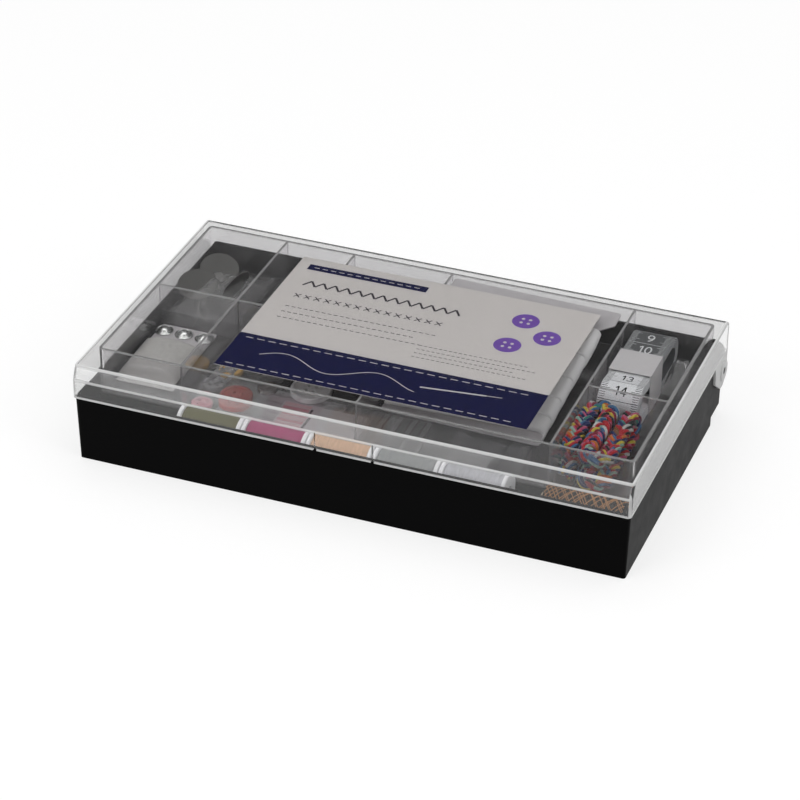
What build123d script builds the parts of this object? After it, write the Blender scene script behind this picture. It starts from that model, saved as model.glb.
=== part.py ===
from build123d import *
import math
import os

# Sewing kit box. A clear lid swings on two pins of a black base, over a clear compartment tray.
# Millimetres, +X to the right, +Y to the rear, +Z up. The origin is the centre of the underside.

# Lid
LID_LENGTH = 262.0
LID_DEPTH = 150.0
BOX_HEIGHT = 48.0
RIM_HEIGHT = 32.3
LID_WALL = 1.2
LID_TOP = 1.3
LID_CORNER = 2.6
CREASE_HEIGHT = 41.65
FRONT_SLANT = 3.0
LID_EDGE_ROUND = 2.0
LID_CREASE_ROUND = 0.7

# Latch tab in the middle of the lid's front
LATCH_WIDTH = 27.0
LATCH_SLIT = 0.5
LATCH_NOTCH = 1.6
LATCH_NOTCH_HEIGHT = 1.1
CATCH_PROUD = 0.15
CATCH_HEIGHT = 1.0

# Base
BASE_INSET = 0.6
BASE_SLOPE = 0.9
BASE_WALL = 1.6
BASE_FLOOR = 2.0
BASE_CORNER = 2.2
RIM_GAP = 0.3
LIP_HEIGHT = 1.3
FIT_GAP = 0.3
REAR_WALL_TOP = 36.5
REAR_WALL_ROUND = 3.5
HEEL_DEPTH = 15.0
HEEL_HEIGHT = 4.4

# Hinge
PIN_INSET = 5.0
PIN_Z = 23.6
PIN_RADIUS = 1.75
PIN_CLEARANCE = 0.06
EAR_WIDTH = 19.8
EAR_BOTTOM = 15.6
EAR_CORNER_RISE = 7.4
EAR_LEAN = 1.6
EAR_TOE = 11.0
EAR_HEEL = 2.6
EAR_PAD = 0.5
EAR_ROUND = 5.0
RECESS_MARGIN = 1.2

# Moulded partitions inside the base
PARTITION = 1.4
PARTITION_LEFT = -92.0
PARTITION_RIGHT = 60.0
CRADLE_RIB = 3.0
CRADLE_HEIGHT = 20.0
STOP_WIDTH = 2.6
STOP_HEIGHT = 31.4
STOP_DEPTH = 1.6

# Compartment tray
TRAY_LEFT_GAP = 0.4
TRAY_RIGHT_GAP = 3.6
TRAY_FRONT_LEDGE = 0.25
TRAY_REAR_GAP = 0.7
TRAY_TOP_GAP = 1.1
TRAY_HEIGHT = 22.6
TRAY_WALL = 1.2
TRAY_FLOOR = 1.3
TRAY_CORNER = 2.0
DIVIDER = 1.0
LEFT_CELL = 40.9
REAR_LEFT_CELL = 34.7
BUTTON_CELL = 84.5
RIGHT_CELL = 38.2
REAR_CELL = 60.7
TAPE_CELL = 71.7

# Thread spools in the front row
SPOOL_NAMES = ["olive", "magenta", "peach", "grey", "white"]
SPOOL_LENGTH = 30.7
SPOOL_PITCH = 31.1
SPOOL_START = -82.5
SPOOL_FRONT_GAP = 0.35
SPOOL_Z = 23.8
FLANGE_RADIUS = 9.5
FLANGE_WIDTH = 2.0
FLANGE_ROUND = 0.8
BARREL_RADIUS = 5.0
SPOOL_BORE = 3.4
THREAD_RADIUS = 8.2
THREAD_CLEARANCE = 0.05
CRADLE_GAP = 0.3

# Cross-wound reel in the front right corner
REEL_START = 89.0
REEL_END_GAP = 2.8
REEL_RADIUS = 9.3
REEL_CORE_RADIUS = 4.0
REEL_CORE_WALL = 0.8
REEL_CORE_PROUD = 1.5
REEL_END_ROUND = 2.2

# Elastic on its card
CARD_THICK = 0.6
CARD_SHIFT = -3.5
CARD_FRONT_SPACE = 23.3
CARD_REAR_SPACE = 1.6
CARD_SIDE_SPACE = 3.0
CARD_SLOPE_EXTRA = 1.26
ELASTIC_TOP_GAP = 0.64
CARD_YAW = 2.0
CARD_FRONT_TAPER = 3.5
CARD_WAIST_TAPER = 6.5
CARD_FRONT_FLARE = 5.0
CARD_REAR_FLARE = 9.0
CARD_FLARE_SLOPE = 6.0
ELASTIC_GAP = 0.6
ELASTIC_TURNS = 4
ELASTIC_FRONT_MARGIN = 5.0
ELASTIC_REAR_MARGIN = 13.0
ELASTIC_INNER = 0.8
ELASTIC_OUTER = 4.2
ELASTIC_BEND_INSET = 0.5

# Tape measure, coiled flat and held by a paper band
TAPE_WIDTH = 19.0
TAPE_FROM_DIVIDER = 13.6
TAPE_THICK = 0.5
TAPE_PITCH = 1.0
TAPE_TURNS = 5
TAPE_OUTER = 9.7
TAPE_FRONT_SPACE = 0.6
TAPE_REAR_SPACE = 5.4
BAND_THICK = 0.35
BAND_FROM_TAPE_FRONT = 18.4
BAND_LENGTH = 18.6
BAND_CLEARANCE = 0.1

# Braided thread hank: three runs in each of two layers
BRAID_RADIUS = 4.2
BRAID_PITCH = 9.0
BRAID_LAYER = 10.2
BRAID_FROM_DIVIDER = 5.0
BRAID_FRONT_SPACE = 9.1
BRAID_REAR_SPACE = 9.9

# Snap fasteners on their card, under the drying sachet
SNAP_CARD_SIZE = (27.0, 31.0)
SNAP_CARD_SIDE_SPACE = 1.7
SNAP_CARD_REAR_SPACE = 0.6
SNAP_RADIUS = 4.5
SNAP_RIM = 0.6
SNAP_DOME_RADIUS = 3.2
SNAP_DOME_HEIGHT = 1.9
SNAP_SPACING = 10.2
SNAP_EDGE = 6.2
SACHET_WIDTH = 29.0
SACHET_THICK = 6.4
SACHET_FRONT_SPACE = 11.2
SACHET_REAR_SPACE = 15.9
SACHET_SIDE_SPACE = 1.2
SACHET_YAW = 1.0
SACHET_ROUND = 2.0

# Needle threaders: an oval plate with a wire loop
THREADER_PLATE = (7.5, 9.5)
THREADER_THICK = 0.6
THREADER_WIRE = 0.5
THREADER_LOOP = 5.2
THREADER_PLACES = [
    ((10.2, 19.0, 12.8), (19.7, 7.4, 0.1)),
    ((14.7, 35.0, 13.8), (16.5, 23.3, 0.1)),
    ((26.7, 27.0, 11.4), (22.5, 28.2, 0.1)),
]

# Buttons on the tray's floor: place from their compartment's front left corner, radius and thickness
BUTTONS = {
    "button_white": (49.5, 31.0, 9.6, 3.0),
    "button_red": (19.8, 14.3, 7.6, 2.6),
    "button_yellow": (8.5, 33.7, 5.6, 2.2),
    "button_brown": (30.2, 25.7, 4.6, 2.4),
    "button_pink": (6.4, 7.4, 5.0, 2.2),
    "button_grey": (6.6, 20.4, 5.4, 2.4),
}
BUTTON_HOLE = 0.9
BUTTON_HOLE_OFFSET = 1.9
BUTTON_DISH = 0.7
BUTTON_RIM = 1.6
BUTTON_ROUND = 0.6

# Needle card on the tray's floor, in front of the large button
NEEDLE_CARD_SIZE = (40.0, 19.4)
NEEDLE_CARD_FRONT_SPACE = 1.0
NEEDLE_CARD_SIDE_SPACE = 2.0

# Cards on the base's floor
HOOK_CARD_LENGTH = 58.0
SAMPLE_CARD_LENGTH = 40.0
FLOOR_CARD_DEPTH = 26.0
FLOOR_CARD_GAP = 2.5
FLOOR_CARD_FRONT_SPACE = 34.0
CARD_CORNER = 1.2

# Printed card that lies under the lid's top
LABEL_LENGTH = 148.0
LABEL_DEPTH = 105.0
LABEL_THICK = 0.35
LABEL_CENTRE = (0.3, 5.6)

SEAT_GAP = 0.3
GAP_SAMPLES = 900

# Values worked out from the sizes above
lid_half = LID_LENGTH / 2
lid_front = -LID_DEPTH / 2
lid_rear = LID_DEPTH / 2
lid_inner_half = lid_half - LID_WALL
lid_inner_rear = lid_rear - LID_WALL
lid_under = BOX_HEIGHT - LID_TOP
shoulder = RIM_HEIGHT - RIM_GAP
lip_top = RIM_HEIGHT + LIP_HEIGHT
base_half = lid_half - BASE_INSET
base_front = lid_front + BASE_INSET
lip_half = lid_inner_half - FIT_GAP
lip_front = lid_front + LID_WALL + FIT_GAP
base_rear = lid_inner_rear - FIT_GAP
base_depth = base_rear - base_front
base_mid = (base_rear + base_front) / 2
cavity_half = base_half - BASE_WALL
cavity_front = base_front + BASE_WALL
cavity_rear = base_rear - BASE_WALL
draft = math.degrees(math.atan(BASE_SLOPE / shoulder))
pin_y = lid_rear - PIN_INSET
ear_front = lid_rear - EAR_WIDTH
spool_y = cavity_front + SPOOL_FRONT_GAP + FLANGE_RADIUS
channel_wall = spool_y + FLANGE_RADIUS + CRADLE_GAP
spool_row_end = SPOOL_START + SPOOL_PITCH * len(SPOOL_NAMES)
reel_end = cavity_half - REEL_END_GAP
reel_length = reel_end - REEL_START
tray_left = -cavity_half + TRAY_LEFT_GAP
tray_right = cavity_half - TRAY_RIGHT_GAP
tray_front = channel_wall + TRAY_FRONT_LEDGE
tray_rear = cavity_rear - TRAY_REAR_GAP
tray_width = tray_right - tray_left
tray_depth = tray_rear - tray_front
tray_centre = ((tray_left + tray_right) / 2, (tray_front + tray_rear) / 2)
tray_top = lid_under - TRAY_TOP_GAP
tray_seat = tray_top - TRAY_HEIGHT
tray_floor_top = tray_seat + TRAY_FLOOR
divider_left = tray_left + LEFT_CELL
divider_rear_left = divider_left + REAR_LEFT_CELL
divider_middle = divider_left + BUTTON_CELL
divider_right = tray_right - RIGHT_CELL
divider_cross = tray_rear - REAR_CELL
divider_tape = tray_rear - TAPE_CELL
cell_left = tray_left + TRAY_WALL
cell_right = tray_right - TRAY_WALL
cell_front = tray_front + TRAY_WALL
cell_rear = tray_rear - TRAY_WALL
cross_front = divider_cross - DIVIDER / 2
cross_rear = divider_cross + DIVIDER / 2

os.makedirs("parts", exist_ok=True)


def save(piece, name):
    """Label a finished piece and write it as its own file."""
    piece.part.label = name
    export_step(piece.part, f"parts/{name}.step")
    print(name, round(piece.part.volume, 1))


def add_box(low, high, mode=Mode.ADD):
    """Add a box to the part being made, or cut one from it, given its lowest and highest corners."""
    size = [high[i] - low[i] for i in range(3)]
    with Locations(low):
        Box(*size, align=(Align.MIN, Align.MIN, Align.MIN), mode=mode)


def least_gap(wire, near, thickness):
    """The least clear distance between stretches of a route that are further apart along it than near."""
    points = [tuple(wire.position_at(k / GAP_SAMPLES)) for k in range(GAP_SAMPLES + 1)]
    apart = math.ceil(near / wire.length * GAP_SAMPLES)
    least = min(
        math.dist(points[i], points[j])
        for i in range(GAP_SAMPLES + 1)
        for j in range(i + apart, GAP_SAMPLES + 1)
    )
    return round(least - thickness, 2)


# The hinge ear seen from the side, as Y and Z: a hanging lobe
ear_points = [
    (ear_front, lip_top),
    (ear_front + EAR_LEAN, EAR_BOTTOM + EAR_CORNER_RISE),
    (ear_front + EAR_TOE, EAR_BOTTOM),
    (lid_rear - EAR_HEEL, EAR_BOTTOM),
    (lid_rear, EAR_BOTTOM + EAR_CORNER_RISE),
    (lid_rear, lip_top),
]


# The base's drafted hollow, whose floor steps up over the heel along the rear edge
heel_front = base_rear - HEEL_DEPTH
heel_floor = HEEL_HEIGHT + BASE_FLOOR
with BuildPart() as cavity:
    with BuildSketch(Plane.XY.offset(lip_top)):
        with Locations((0, (cavity_front + cavity_rear) / 2)):
            RectangleRounded(2 * cavity_half, cavity_rear - cavity_front, BASE_CORNER)
    extrude(amount=-(lip_top - BASE_FLOOR), taper=draft)
    add_box(
        (-cavity_half, heel_front - BASE_FLOOR, BASE_FLOOR),
        (cavity_half, cavity_rear, heel_floor),
        Mode.SUBTRACT,
    )


# Base: a drafted shell with a lip and a raised rear wall
with BuildPart() as base_box:
    with BuildSketch(Plane.XY.offset(shoulder)):
        with Locations((0, base_mid)):
            RectangleRounded(2 * base_half, base_depth, BASE_CORNER)
    extrude(amount=-shoulder, taper=draft)
    # Lip that the lid's walls drop over
    with BuildSketch(Plane.XY.offset(shoulder - BASE_FLOOR)):
        with Locations((0, (lip_front + base_rear) / 2)):
            RectangleRounded(2 * lip_half, base_rear - lip_front, BASE_CORNER)
    extrude(amount=lip_top - shoulder + BASE_FLOOR)
    add(cavity.part, mode=Mode.SUBTRACT)
    # Raised rear wall between the hinge corners
    with BuildSketch(Plane.XZ.offset(-base_rear)) as rear_wall:
        with Locations((0, (shoulder + REAR_WALL_TOP) / 2)):
            Rectangle(2 * cavity_half, REAR_WALL_TOP - shoulder)
        fillet(rear_wall.vertices().group_by(Axis.Y)[-1], REAR_WALL_ROUND)
    extrude(amount=BASE_WALL)
    # Recesses for the lid's ears
    for side in (-1, 1):
        inner = side * lip_half
        outer = side * (base_half + FIT_GAP)
        add_box(
            (min(inner, outer), ear_front - RECESS_MARGIN, 0),
            (max(inner, outer), base_rear, lip_top),
            Mode.SUBTRACT,
        )
    # Catch ridge that the latch tab snaps over
    add_box(
        (-LATCH_WIDTH / 2 + LATCH_NOTCH, lip_front - CATCH_PROUD, lip_top - CATCH_HEIGHT),
        (LATCH_WIDTH / 2 - LATCH_NOTCH, cavity_front, lip_top),
    )
    # Heel step in the underside
    add_box((-base_half, heel_front, 0), (base_half, base_rear, HEEL_HEIGHT), Mode.SUBTRACT)
save(base_box, "base_box")


# Hinge pins on the outside of the base's rear corners
with BuildPart() as hinge_pins:
    for side in (-1, 1):
        with BuildSketch(Plane.YZ.offset(side * lip_half)):
            with Locations((pin_y, PIN_Z)):
                Circle(PIN_RADIUS)
        extrude(amount=side * (lid_half + EAR_PAD / 2 - lip_half))
save(hinge_pins, "hinge_pins")


# Partitions that stand in the base and carry the tray
with BuildPart() as base_partitions:
    add_box(
        (-cavity_half, channel_wall, BASE_FLOOR),
        (cavity_half, channel_wall + PARTITION, tray_seat),
    )
    for x in (PARTITION_LEFT, PARTITION_RIGHT):
        add_box(
            (x - PARTITION / 2, channel_wall, BASE_FLOOR),
            (x + PARTITION / 2, cavity_rear, tray_seat),
        )
    add(cavity.part, mode=Mode.INTERSECT)
save(base_partitions, "base_partitions")


# Ribs that cradle the spools' flanges and the reel's ends, and a stop block at the row's right end
with BuildPart() as cradle_ribs:
    flange_ribs = [SPOOL_START + k * SPOOL_PITCH - CRADLE_GAP / 2 for k in range(len(SPOOL_NAMES) + 1)]
    for rib_x in flange_ribs + [REEL_START + CRADLE_RIB, reel_end - CRADLE_RIB]:
        add_box(
            (rib_x - CRADLE_RIB / 2, cavity_front, BASE_FLOOR),
            (rib_x + CRADLE_RIB / 2, channel_wall, CRADLE_HEIGHT),
        )
    with BuildSketch(Plane.YZ.offset(SPOOL_START - CRADLE_RIB)):
        with Locations((spool_y, SPOOL_Z)):
            Circle(FLANGE_RADIUS + CRADLE_GAP)
    extrude(amount=cavity_half - SPOOL_START, mode=Mode.SUBTRACT)
    stop_x = spool_row_end + FIT_GAP
    add_box(
        (stop_x, cavity_front, BASE_FLOOR),
        (stop_x + STOP_WIDTH, cavity_front + STOP_DEPTH, STOP_HEIGHT),
    )
    add(cavity.part, mode=Mode.INTERSECT)
save(cradle_ribs, "cradle_ribs")


# Lid: a shell with a slanted front, hanging ears and a slit latch tab
with BuildPart() as lid:
    profile_outer = [
        (lid_front, RIM_HEIGHT),
        (lid_front, CREASE_HEIGHT),
        (lid_front + FRONT_SLANT, BOX_HEIGHT),
        (lid_rear, BOX_HEIGHT),
        (lid_rear, RIM_HEIGHT),
    ]
    with BuildSketch(Plane.YZ.offset(-lid_half)) as outer_profile:
        with BuildLine():
            Polyline(*profile_outer, close=True)
        make_face()
        fillet(outer_profile.vertices().sort_by_distance((lid_rear, BOX_HEIGHT))[0], LID_CORNER)
    extrude(amount=LID_LENGTH)
    front_corners = lid.faces().sort_by(Axis.Y)[:2].edges().filter_by(Axis.X, reverse=True)
    fillet(front_corners, LID_EDGE_ROUND)
    top_rim = lid.faces().sort_by(Axis.Z)[-1].edges().sort_by(Axis.Y)[:-1]
    fillet(top_rim, LID_CREASE_ROUND)
    # Hollow
    profile_inner = [
        (lid_front + LID_WALL, RIM_HEIGHT),
        (lid_front + LID_WALL, CREASE_HEIGHT),
        (lid_front + FRONT_SLANT + LID_WALL, lid_under),
        (lid_inner_rear, lid_under),
        (lid_inner_rear, RIM_HEIGHT),
    ]
    with BuildSketch(Plane.YZ.offset(-lid_inner_half)) as inner_profile:
        with BuildLine():
            Polyline(*profile_inner, close=True)
        make_face()
        corner = inner_profile.vertices().sort_by_distance((lid_inner_rear, lid_under))[0]
        fillet(corner, LID_CORNER - LID_WALL)
    extrude(amount=2 * lid_inner_half, mode=Mode.SUBTRACT)
    # Hanging ears, with a pad outside that carries the pin hole
    for side in (-1, 1):
        with BuildSketch(Plane.YZ.offset(side * lid_inner_half)) as ear:
            with BuildLine():
                Polyline(*ear_points, close=True)
            make_face()
            fillet(ear.vertices().group_by(Axis.Y)[0], EAR_ROUND)
            fillet(ear.vertices().group_by(Axis.Y)[1], EAR_ROUND)
        extrude(amount=side * LID_WALL)
        with BuildSketch(Plane.YZ.offset(side * (lid_half - LID_WALL / 2))) as pad:
            with Locations((pin_y, PIN_Z)):
                Circle(lid_rear - pin_y)
        extrude(amount=side * (EAR_PAD + LID_WALL / 2))
        with BuildSketch(Plane.YZ.offset(side * (lid_inner_half - LID_WALL))):
            with Locations((pin_y, PIN_Z)):
                Circle(PIN_RADIUS + PIN_CLEARANCE)
        extrude(amount=side * (3 * LID_WALL + EAR_PAD), mode=Mode.SUBTRACT)
    # Slits beside the latch tab
    for side in (-1, 1):
        slit_x = side * LATCH_WIDTH / 2
        for width, height in ((LATCH_SLIT, CREASE_HEIGHT), (LATCH_NOTCH, RIM_HEIGHT + LATCH_NOTCH_HEIGHT)):
            add_box(
                (slit_x - width / 2, lid_front - LID_WALL, RIM_HEIGHT - LID_WALL),
                (slit_x + width / 2, lid_front + 2 * LID_WALL, height),
                Mode.SUBTRACT,
            )
save(lid, "lid")


# Compartment tray: the floor, with its lower edge rounded
with BuildPart() as tray_floor:
    with BuildSketch(Plane.XY.offset(tray_seat)):
        with Locations(tray_centre):
            RectangleRounded(tray_width, tray_depth, TRAY_CORNER)
    extrude(amount=tray_floor_top - tray_seat)
    fillet(tray_floor.faces().sort_by(Axis.Z)[0].edges(), TRAY_WALL)
save(tray_floor, "tray_floor")


# Outer walls that stand on the tray's floor
with BuildPart() as tray_walls:
    with BuildSketch(Plane.XY.offset(tray_floor_top)):
        with Locations(tray_centre):
            RectangleRounded(tray_width, tray_depth, TRAY_CORNER)
            inner_corner = TRAY_CORNER - TRAY_WALL / 2
            RectangleRounded(
                tray_width - 2 * TRAY_WALL, tray_depth - 2 * TRAY_WALL, inner_corner, mode=Mode.SUBTRACT
            )
    extrude(amount=tray_top - tray_floor_top)
save(tray_walls, "tray_walls")


# Dividers that stand on the tray's floor, between its walls
with BuildPart() as tray_dividers:
    for x in (divider_left, divider_middle, divider_right):
        add_box(
            (x - DIVIDER / 2, cell_front, tray_floor_top),
            (x + DIVIDER / 2, cell_rear, tray_top),
        )
    add_box(
        (divider_rear_left - DIVIDER / 2, divider_cross, tray_floor_top),
        (divider_rear_left + DIVIDER / 2, cell_rear, tray_top),
    )
    crosses = ((cell_left, divider_middle, divider_cross), (divider_right, cell_right, divider_tape))
    for low_x, high_x, y in crosses:
        add_box(
            (low_x, y - DIVIDER / 2, tray_floor_top),
            (high_x, y + DIVIDER / 2, tray_top),
        )
save(tray_dividers, "tray_dividers")


def make_spool(start_x):
    """A spool along X: two rounded flanges on a hollow barrel."""
    with BuildPart() as spool:
        with BuildSketch(Plane.XY.offset(SPOOL_Z)):
            with Locations((start_x, spool_y)):
                Rectangle(FLANGE_WIDTH, FLANGE_RADIUS, align=(Align.MIN, Align.MIN))
                Rectangle(SPOOL_LENGTH, BARREL_RADIUS, align=(Align.MIN, Align.MIN))
            with Locations((start_x + SPOOL_LENGTH, spool_y)):
                Rectangle(FLANGE_WIDTH, FLANGE_RADIUS, align=(Align.MAX, Align.MIN))
        axis = Axis((start_x, spool_y, SPOOL_Z), (1, 0, 0))
        revolve(axis=axis)
        rims = spool.edges().filter_by(GeomType.CIRCLE)
        rims = rims.filter_by(lambda edge: edge.radius > FLANGE_RADIUS - FLANGE_ROUND)
        fillet(rims, FLANGE_ROUND)
        with BuildSketch(Plane.YZ.offset(start_x)):
            with Locations((spool_y, SPOOL_Z)):
                Circle(SPOOL_BORE)
        extrude(amount=SPOOL_LENGTH, mode=Mode.SUBTRACT)
    return spool


def make_thread(start_x):
    """The thread wound on a spool, between its flanges."""
    inside = FLANGE_WIDTH + THREAD_CLEARANCE
    with BuildPart() as thread:
        with BuildSketch(Plane.YZ.offset(start_x + inside)):
            with Locations((spool_y, SPOOL_Z)):
                Circle(THREAD_RADIUS)
                Circle(BARREL_RADIUS + THREAD_CLEARANCE, mode=Mode.SUBTRACT)
        extrude(amount=SPOOL_LENGTH - 2 * inside)
    return thread


for number, colour in enumerate(SPOOL_NAMES):
    spool_x = SPOOL_START + number * SPOOL_PITCH
    save(make_spool(spool_x), f"spool_{colour}")
    save(make_thread(spool_x), f"thread_{colour}")


# Cross-wound reel: a cardboard core and the bronze thread on it
with BuildPart() as reel_core:
    with BuildSketch(Plane.YZ.offset(REEL_START - REEL_CORE_PROUD)):
        with Locations((spool_y, SPOOL_Z)):
            Circle(REEL_CORE_RADIUS)
            Circle(REEL_CORE_RADIUS - REEL_CORE_WALL, mode=Mode.SUBTRACT)
    extrude(amount=reel_length + 2 * REEL_CORE_PROUD)
save(reel_core, "reel_core")

with BuildPart() as reel_thread:
    with BuildSketch(Plane.YZ.offset(REEL_START)):
        with Locations((spool_y, SPOOL_Z)):
            Circle(REEL_RADIUS)
    extrude(amount=reel_length)
    fillet(reel_thread.edges().filter_by(GeomType.CIRCLE), REEL_END_ROUND)
    with BuildSketch(Plane.YZ.offset(REEL_START)):
        with Locations((spool_y, SPOOL_Z)):
            Circle(REEL_CORE_RADIUS + THREAD_CLEARANCE)
    extrude(amount=reel_length, mode=Mode.SUBTRACT)
save(reel_thread, "reel_thread")


# Elastic card, leaning on the tray's rear wall with its front end low
yaw = math.radians(CARD_YAW)
card_space = cell_rear - CARD_REAR_SPACE - cell_front - CARD_FRONT_SPACE
card_length = card_space + CARD_SLOPE_EXTRA
card_rear_half = (divider_right - divider_middle - DIVIDER) / 2 - CARD_SIDE_SPACE
card_front_half = card_rear_half - CARD_FRONT_TAPER
card_waist_half = card_rear_half - CARD_WAIST_TAPER
elastic_bend = card_waist_half - ELASTIC_BEND_INSET
elastic_space = card_length - ELASTIC_FRONT_MARGIN - ELASTIC_REAR_MARGIN
elastic_pitch = elastic_space / (ELASTIC_TURNS + 1)
elastic_width = elastic_pitch - ELASTIC_GAP
half_pitch = elastic_pitch / 2
winding_front = -card_length / 2 + ELASTIC_FRONT_MARGIN
elastic_start = winding_front + half_pitch
elastic_height = lid_under - LABEL_THICK - ELASTIC_TOP_GAP - tray_floor_top - SEAT_GAP
elastic_diagonal = math.hypot(elastic_space, 2 * ELASTIC_OUTER)
tilt = math.asin(elastic_height / elastic_diagonal) - math.asin(2 * ELASTIC_OUTER / elastic_diagonal)
card_rise = -winding_front * math.sin(tilt) + ELASTIC_OUTER / math.cos(tilt) + SEAT_GAP
card_centre_x = (divider_middle + divider_right) / 2 + CARD_SHIFT
card_origin = (card_centre_x, cell_rear - CARD_REAR_SPACE - card_space / 2, tray_floor_top + card_rise)
card_x = (math.cos(yaw), -math.sin(yaw), 0)
card_y = (
    math.sin(yaw) * math.cos(tilt),
    math.cos(yaw) * math.cos(tilt),
    math.sin(tilt),
)
card_normal = Vector(*card_x).cross(Vector(*card_y))
card_plane = Plane(origin=card_origin, x_dir=card_x, z_dir=card_normal)

with BuildPart() as elastic_card:
    half = card_length / 2
    right_edge = [
        (card_front_half, -half),
        (card_front_half, -half + CARD_FRONT_FLARE),
        (card_waist_half, -half + CARD_FRONT_FLARE + CARD_FLARE_SLOPE),
        (card_waist_half, half - CARD_REAR_FLARE - CARD_FLARE_SLOPE),
        (card_rear_half, half - CARD_REAR_FLARE),
        (card_rear_half, half),
    ]
    outline = right_edge + [(-u, v) for u, v in reversed(right_edge)]
    with BuildSketch(card_plane.offset(-CARD_THICK / 2)) as card_shape:
        with BuildLine():
            Polyline(*outline, close=True)
        make_face()
        fillet(card_shape.vertices(), CARD_CORNER)
    extrude(amount=CARD_THICK)
save(elastic_card, "elastic_card")


def elastic_run(start_v, end_v, side):
    """Corners of a flat run of elastic across the card, slanted from one edge to the other."""
    return [
        (side * elastic_bend, start_v),
        (side * elastic_bend, start_v + elastic_width),
        (-side * elastic_bend, end_v + elastic_width),
        (-side * elastic_bend, end_v),
    ]


# Each half turn is a flat run over or under the card and a half-round bend at its edge
half_turns = 2 * ELASTIC_TURNS
with BuildPart() as elastic_winding:
    for step in range(half_turns):
        run_v = elastic_start + (step - 1) * half_pitch
        run_side = 1 if step % 2 else -1
        run_low = ELASTIC_INNER if step % 2 else -ELASTIC_OUTER
        with BuildSketch(card_plane.offset(run_low)):
            with BuildLine():
                Polyline(*elastic_run(run_v, run_v + half_pitch, run_side), close=True)
            make_face()
        extrude(amount=ELASTIC_OUTER - ELASTIC_INNER)
        if step == half_turns - 1:
            continue
        bend_side = -run_side
        corner = card_plane.from_local_coords((bend_side * elastic_bend, run_v + half_pitch, 0))
        across = -card_plane.y_dir
        with BuildSketch(Plane(origin=corner, x_dir=card_plane.x_dir, z_dir=across)):
            with BuildLine():
                ThreePointArc((0, ELASTIC_OUTER), (bend_side * ELASTIC_OUTER, 0), (0, -ELASTIC_OUTER))
                Line((0, -ELASTIC_OUTER), (0, -ELASTIC_INNER))
                ThreePointArc((0, -ELASTIC_INNER), (bend_side * ELASTIC_INNER, 0), (0, ELASTIC_INNER))
                Line((0, ELASTIC_INNER), (0, ELASTIC_OUTER))
            make_face()
        extrude(amount=-elastic_width)
rear_edge = Edge.make_line(
    (-elastic_bend, elastic_start + elastic_width, 0),
    (elastic_bend, elastic_start + half_pitch + elastic_width, 0),
)
next_front_edge = Edge.make_line(
    (-elastic_bend, elastic_start + elastic_pitch, 0),
    (elastic_bend, elastic_start + half_pitch + elastic_pitch, 0),
)
print("elastic least gap to itself", round(rear_edge.distance_to(next_front_edge), 2))
save(elastic_winding, "elastic_winding")


# Tape measure: a flattened spiral of tape, standing on its long side
tape_x = divider_right + TAPE_FROM_DIVIDER
tape_front = divider_tape + DIVIDER / 2 + TAPE_FRONT_SPACE
tape_length = cell_rear - TAPE_REAR_SPACE - tape_front
tape_low = tray_floor_top + BAND_THICK + BAND_CLEARANCE
tape_rear_radius = TAPE_OUTER - TAPE_PITCH
tape_front_radius = TAPE_OUTER - TAPE_PITCH / 2
tape_z = tape_low + tape_rear_radius + TAPE_THICK / 2
tape_rear_centre = tape_front + tape_length - tape_rear_radius - TAPE_THICK / 2
tape_front_centre = tape_front + tape_front_radius + TAPE_THICK / 2
tape_start = TAPE_OUTER - TAPE_TURNS * TAPE_PITCH
with BuildPart() as tape_measure:
    with BuildSketch(Plane.YZ.offset(tape_x - TAPE_WIDTH / 2)):
        with BuildLine() as tape_line:
            for turn in range(TAPE_TURNS):
                small = tape_start + turn * TAPE_PITCH
                large = small + TAPE_PITCH / 2
                top = (tape_rear_centre, tape_z + small)
                rear = (tape_rear_centre + small, tape_z)
                bottom = (tape_rear_centre, tape_z - small)
                ThreePointArc(top, rear, bottom)
                front_low = (tape_front_centre, tape_z - small)
                front_mid = (tape_front_centre - large, tape_z - small + large)
                front_high = (tape_front_centre, tape_z - small + 2 * large)
                Line(bottom, front_low)
                ThreePointArc(front_low, front_mid, front_high)
                Line(front_high, (tape_rear_centre, tape_z + small + TAPE_PITCH))
        trace(line_width=TAPE_THICK)
    extrude(amount=TAPE_WIDTH)
print("tape least gap to itself", least_gap(tape_line.wires()[0], tape_length, TAPE_THICK))
save(tape_measure, "tape_measure")

tape_top = tape_z + TAPE_OUTER + TAPE_THICK / 2
with BuildPart() as tape_band:
    band_front = tape_front + BAND_FROM_TAPE_FRONT
    band_half = TAPE_WIDTH / 2 + BAND_CLEARANCE
    band_low = tape_low - BAND_CLEARANCE
    band_high = tape_top + BAND_CLEARANCE
    add_box(
        (tape_x - band_half - BAND_THICK, band_front, band_low - BAND_THICK),
        (tape_x + band_half + BAND_THICK, band_front + BAND_LENGTH, band_high + BAND_THICK),
    )
    add_box(
        (tape_x - band_half, band_front, band_low),
        (tape_x + band_half, band_front + BAND_LENGTH, band_high),
        Mode.SUBTRACT,
    )
save(tape_band, "tape_band")


# Braided hank: one unbroken tube folded to and fro in two layers
def braid_route():
    """Corner points of the folded tube: runs along Y joined by half turns."""
    low_z = tray_floor_top + SEAT_GAP + BRAID_RADIUS
    columns = [divider_right + BRAID_FROM_DIVIDER + k * BRAID_PITCH for k in range(3)]
    order = [(x, low_z) for x in columns] + [(x, low_z + BRAID_LAYER) for x in reversed(columns)]
    return order


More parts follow.
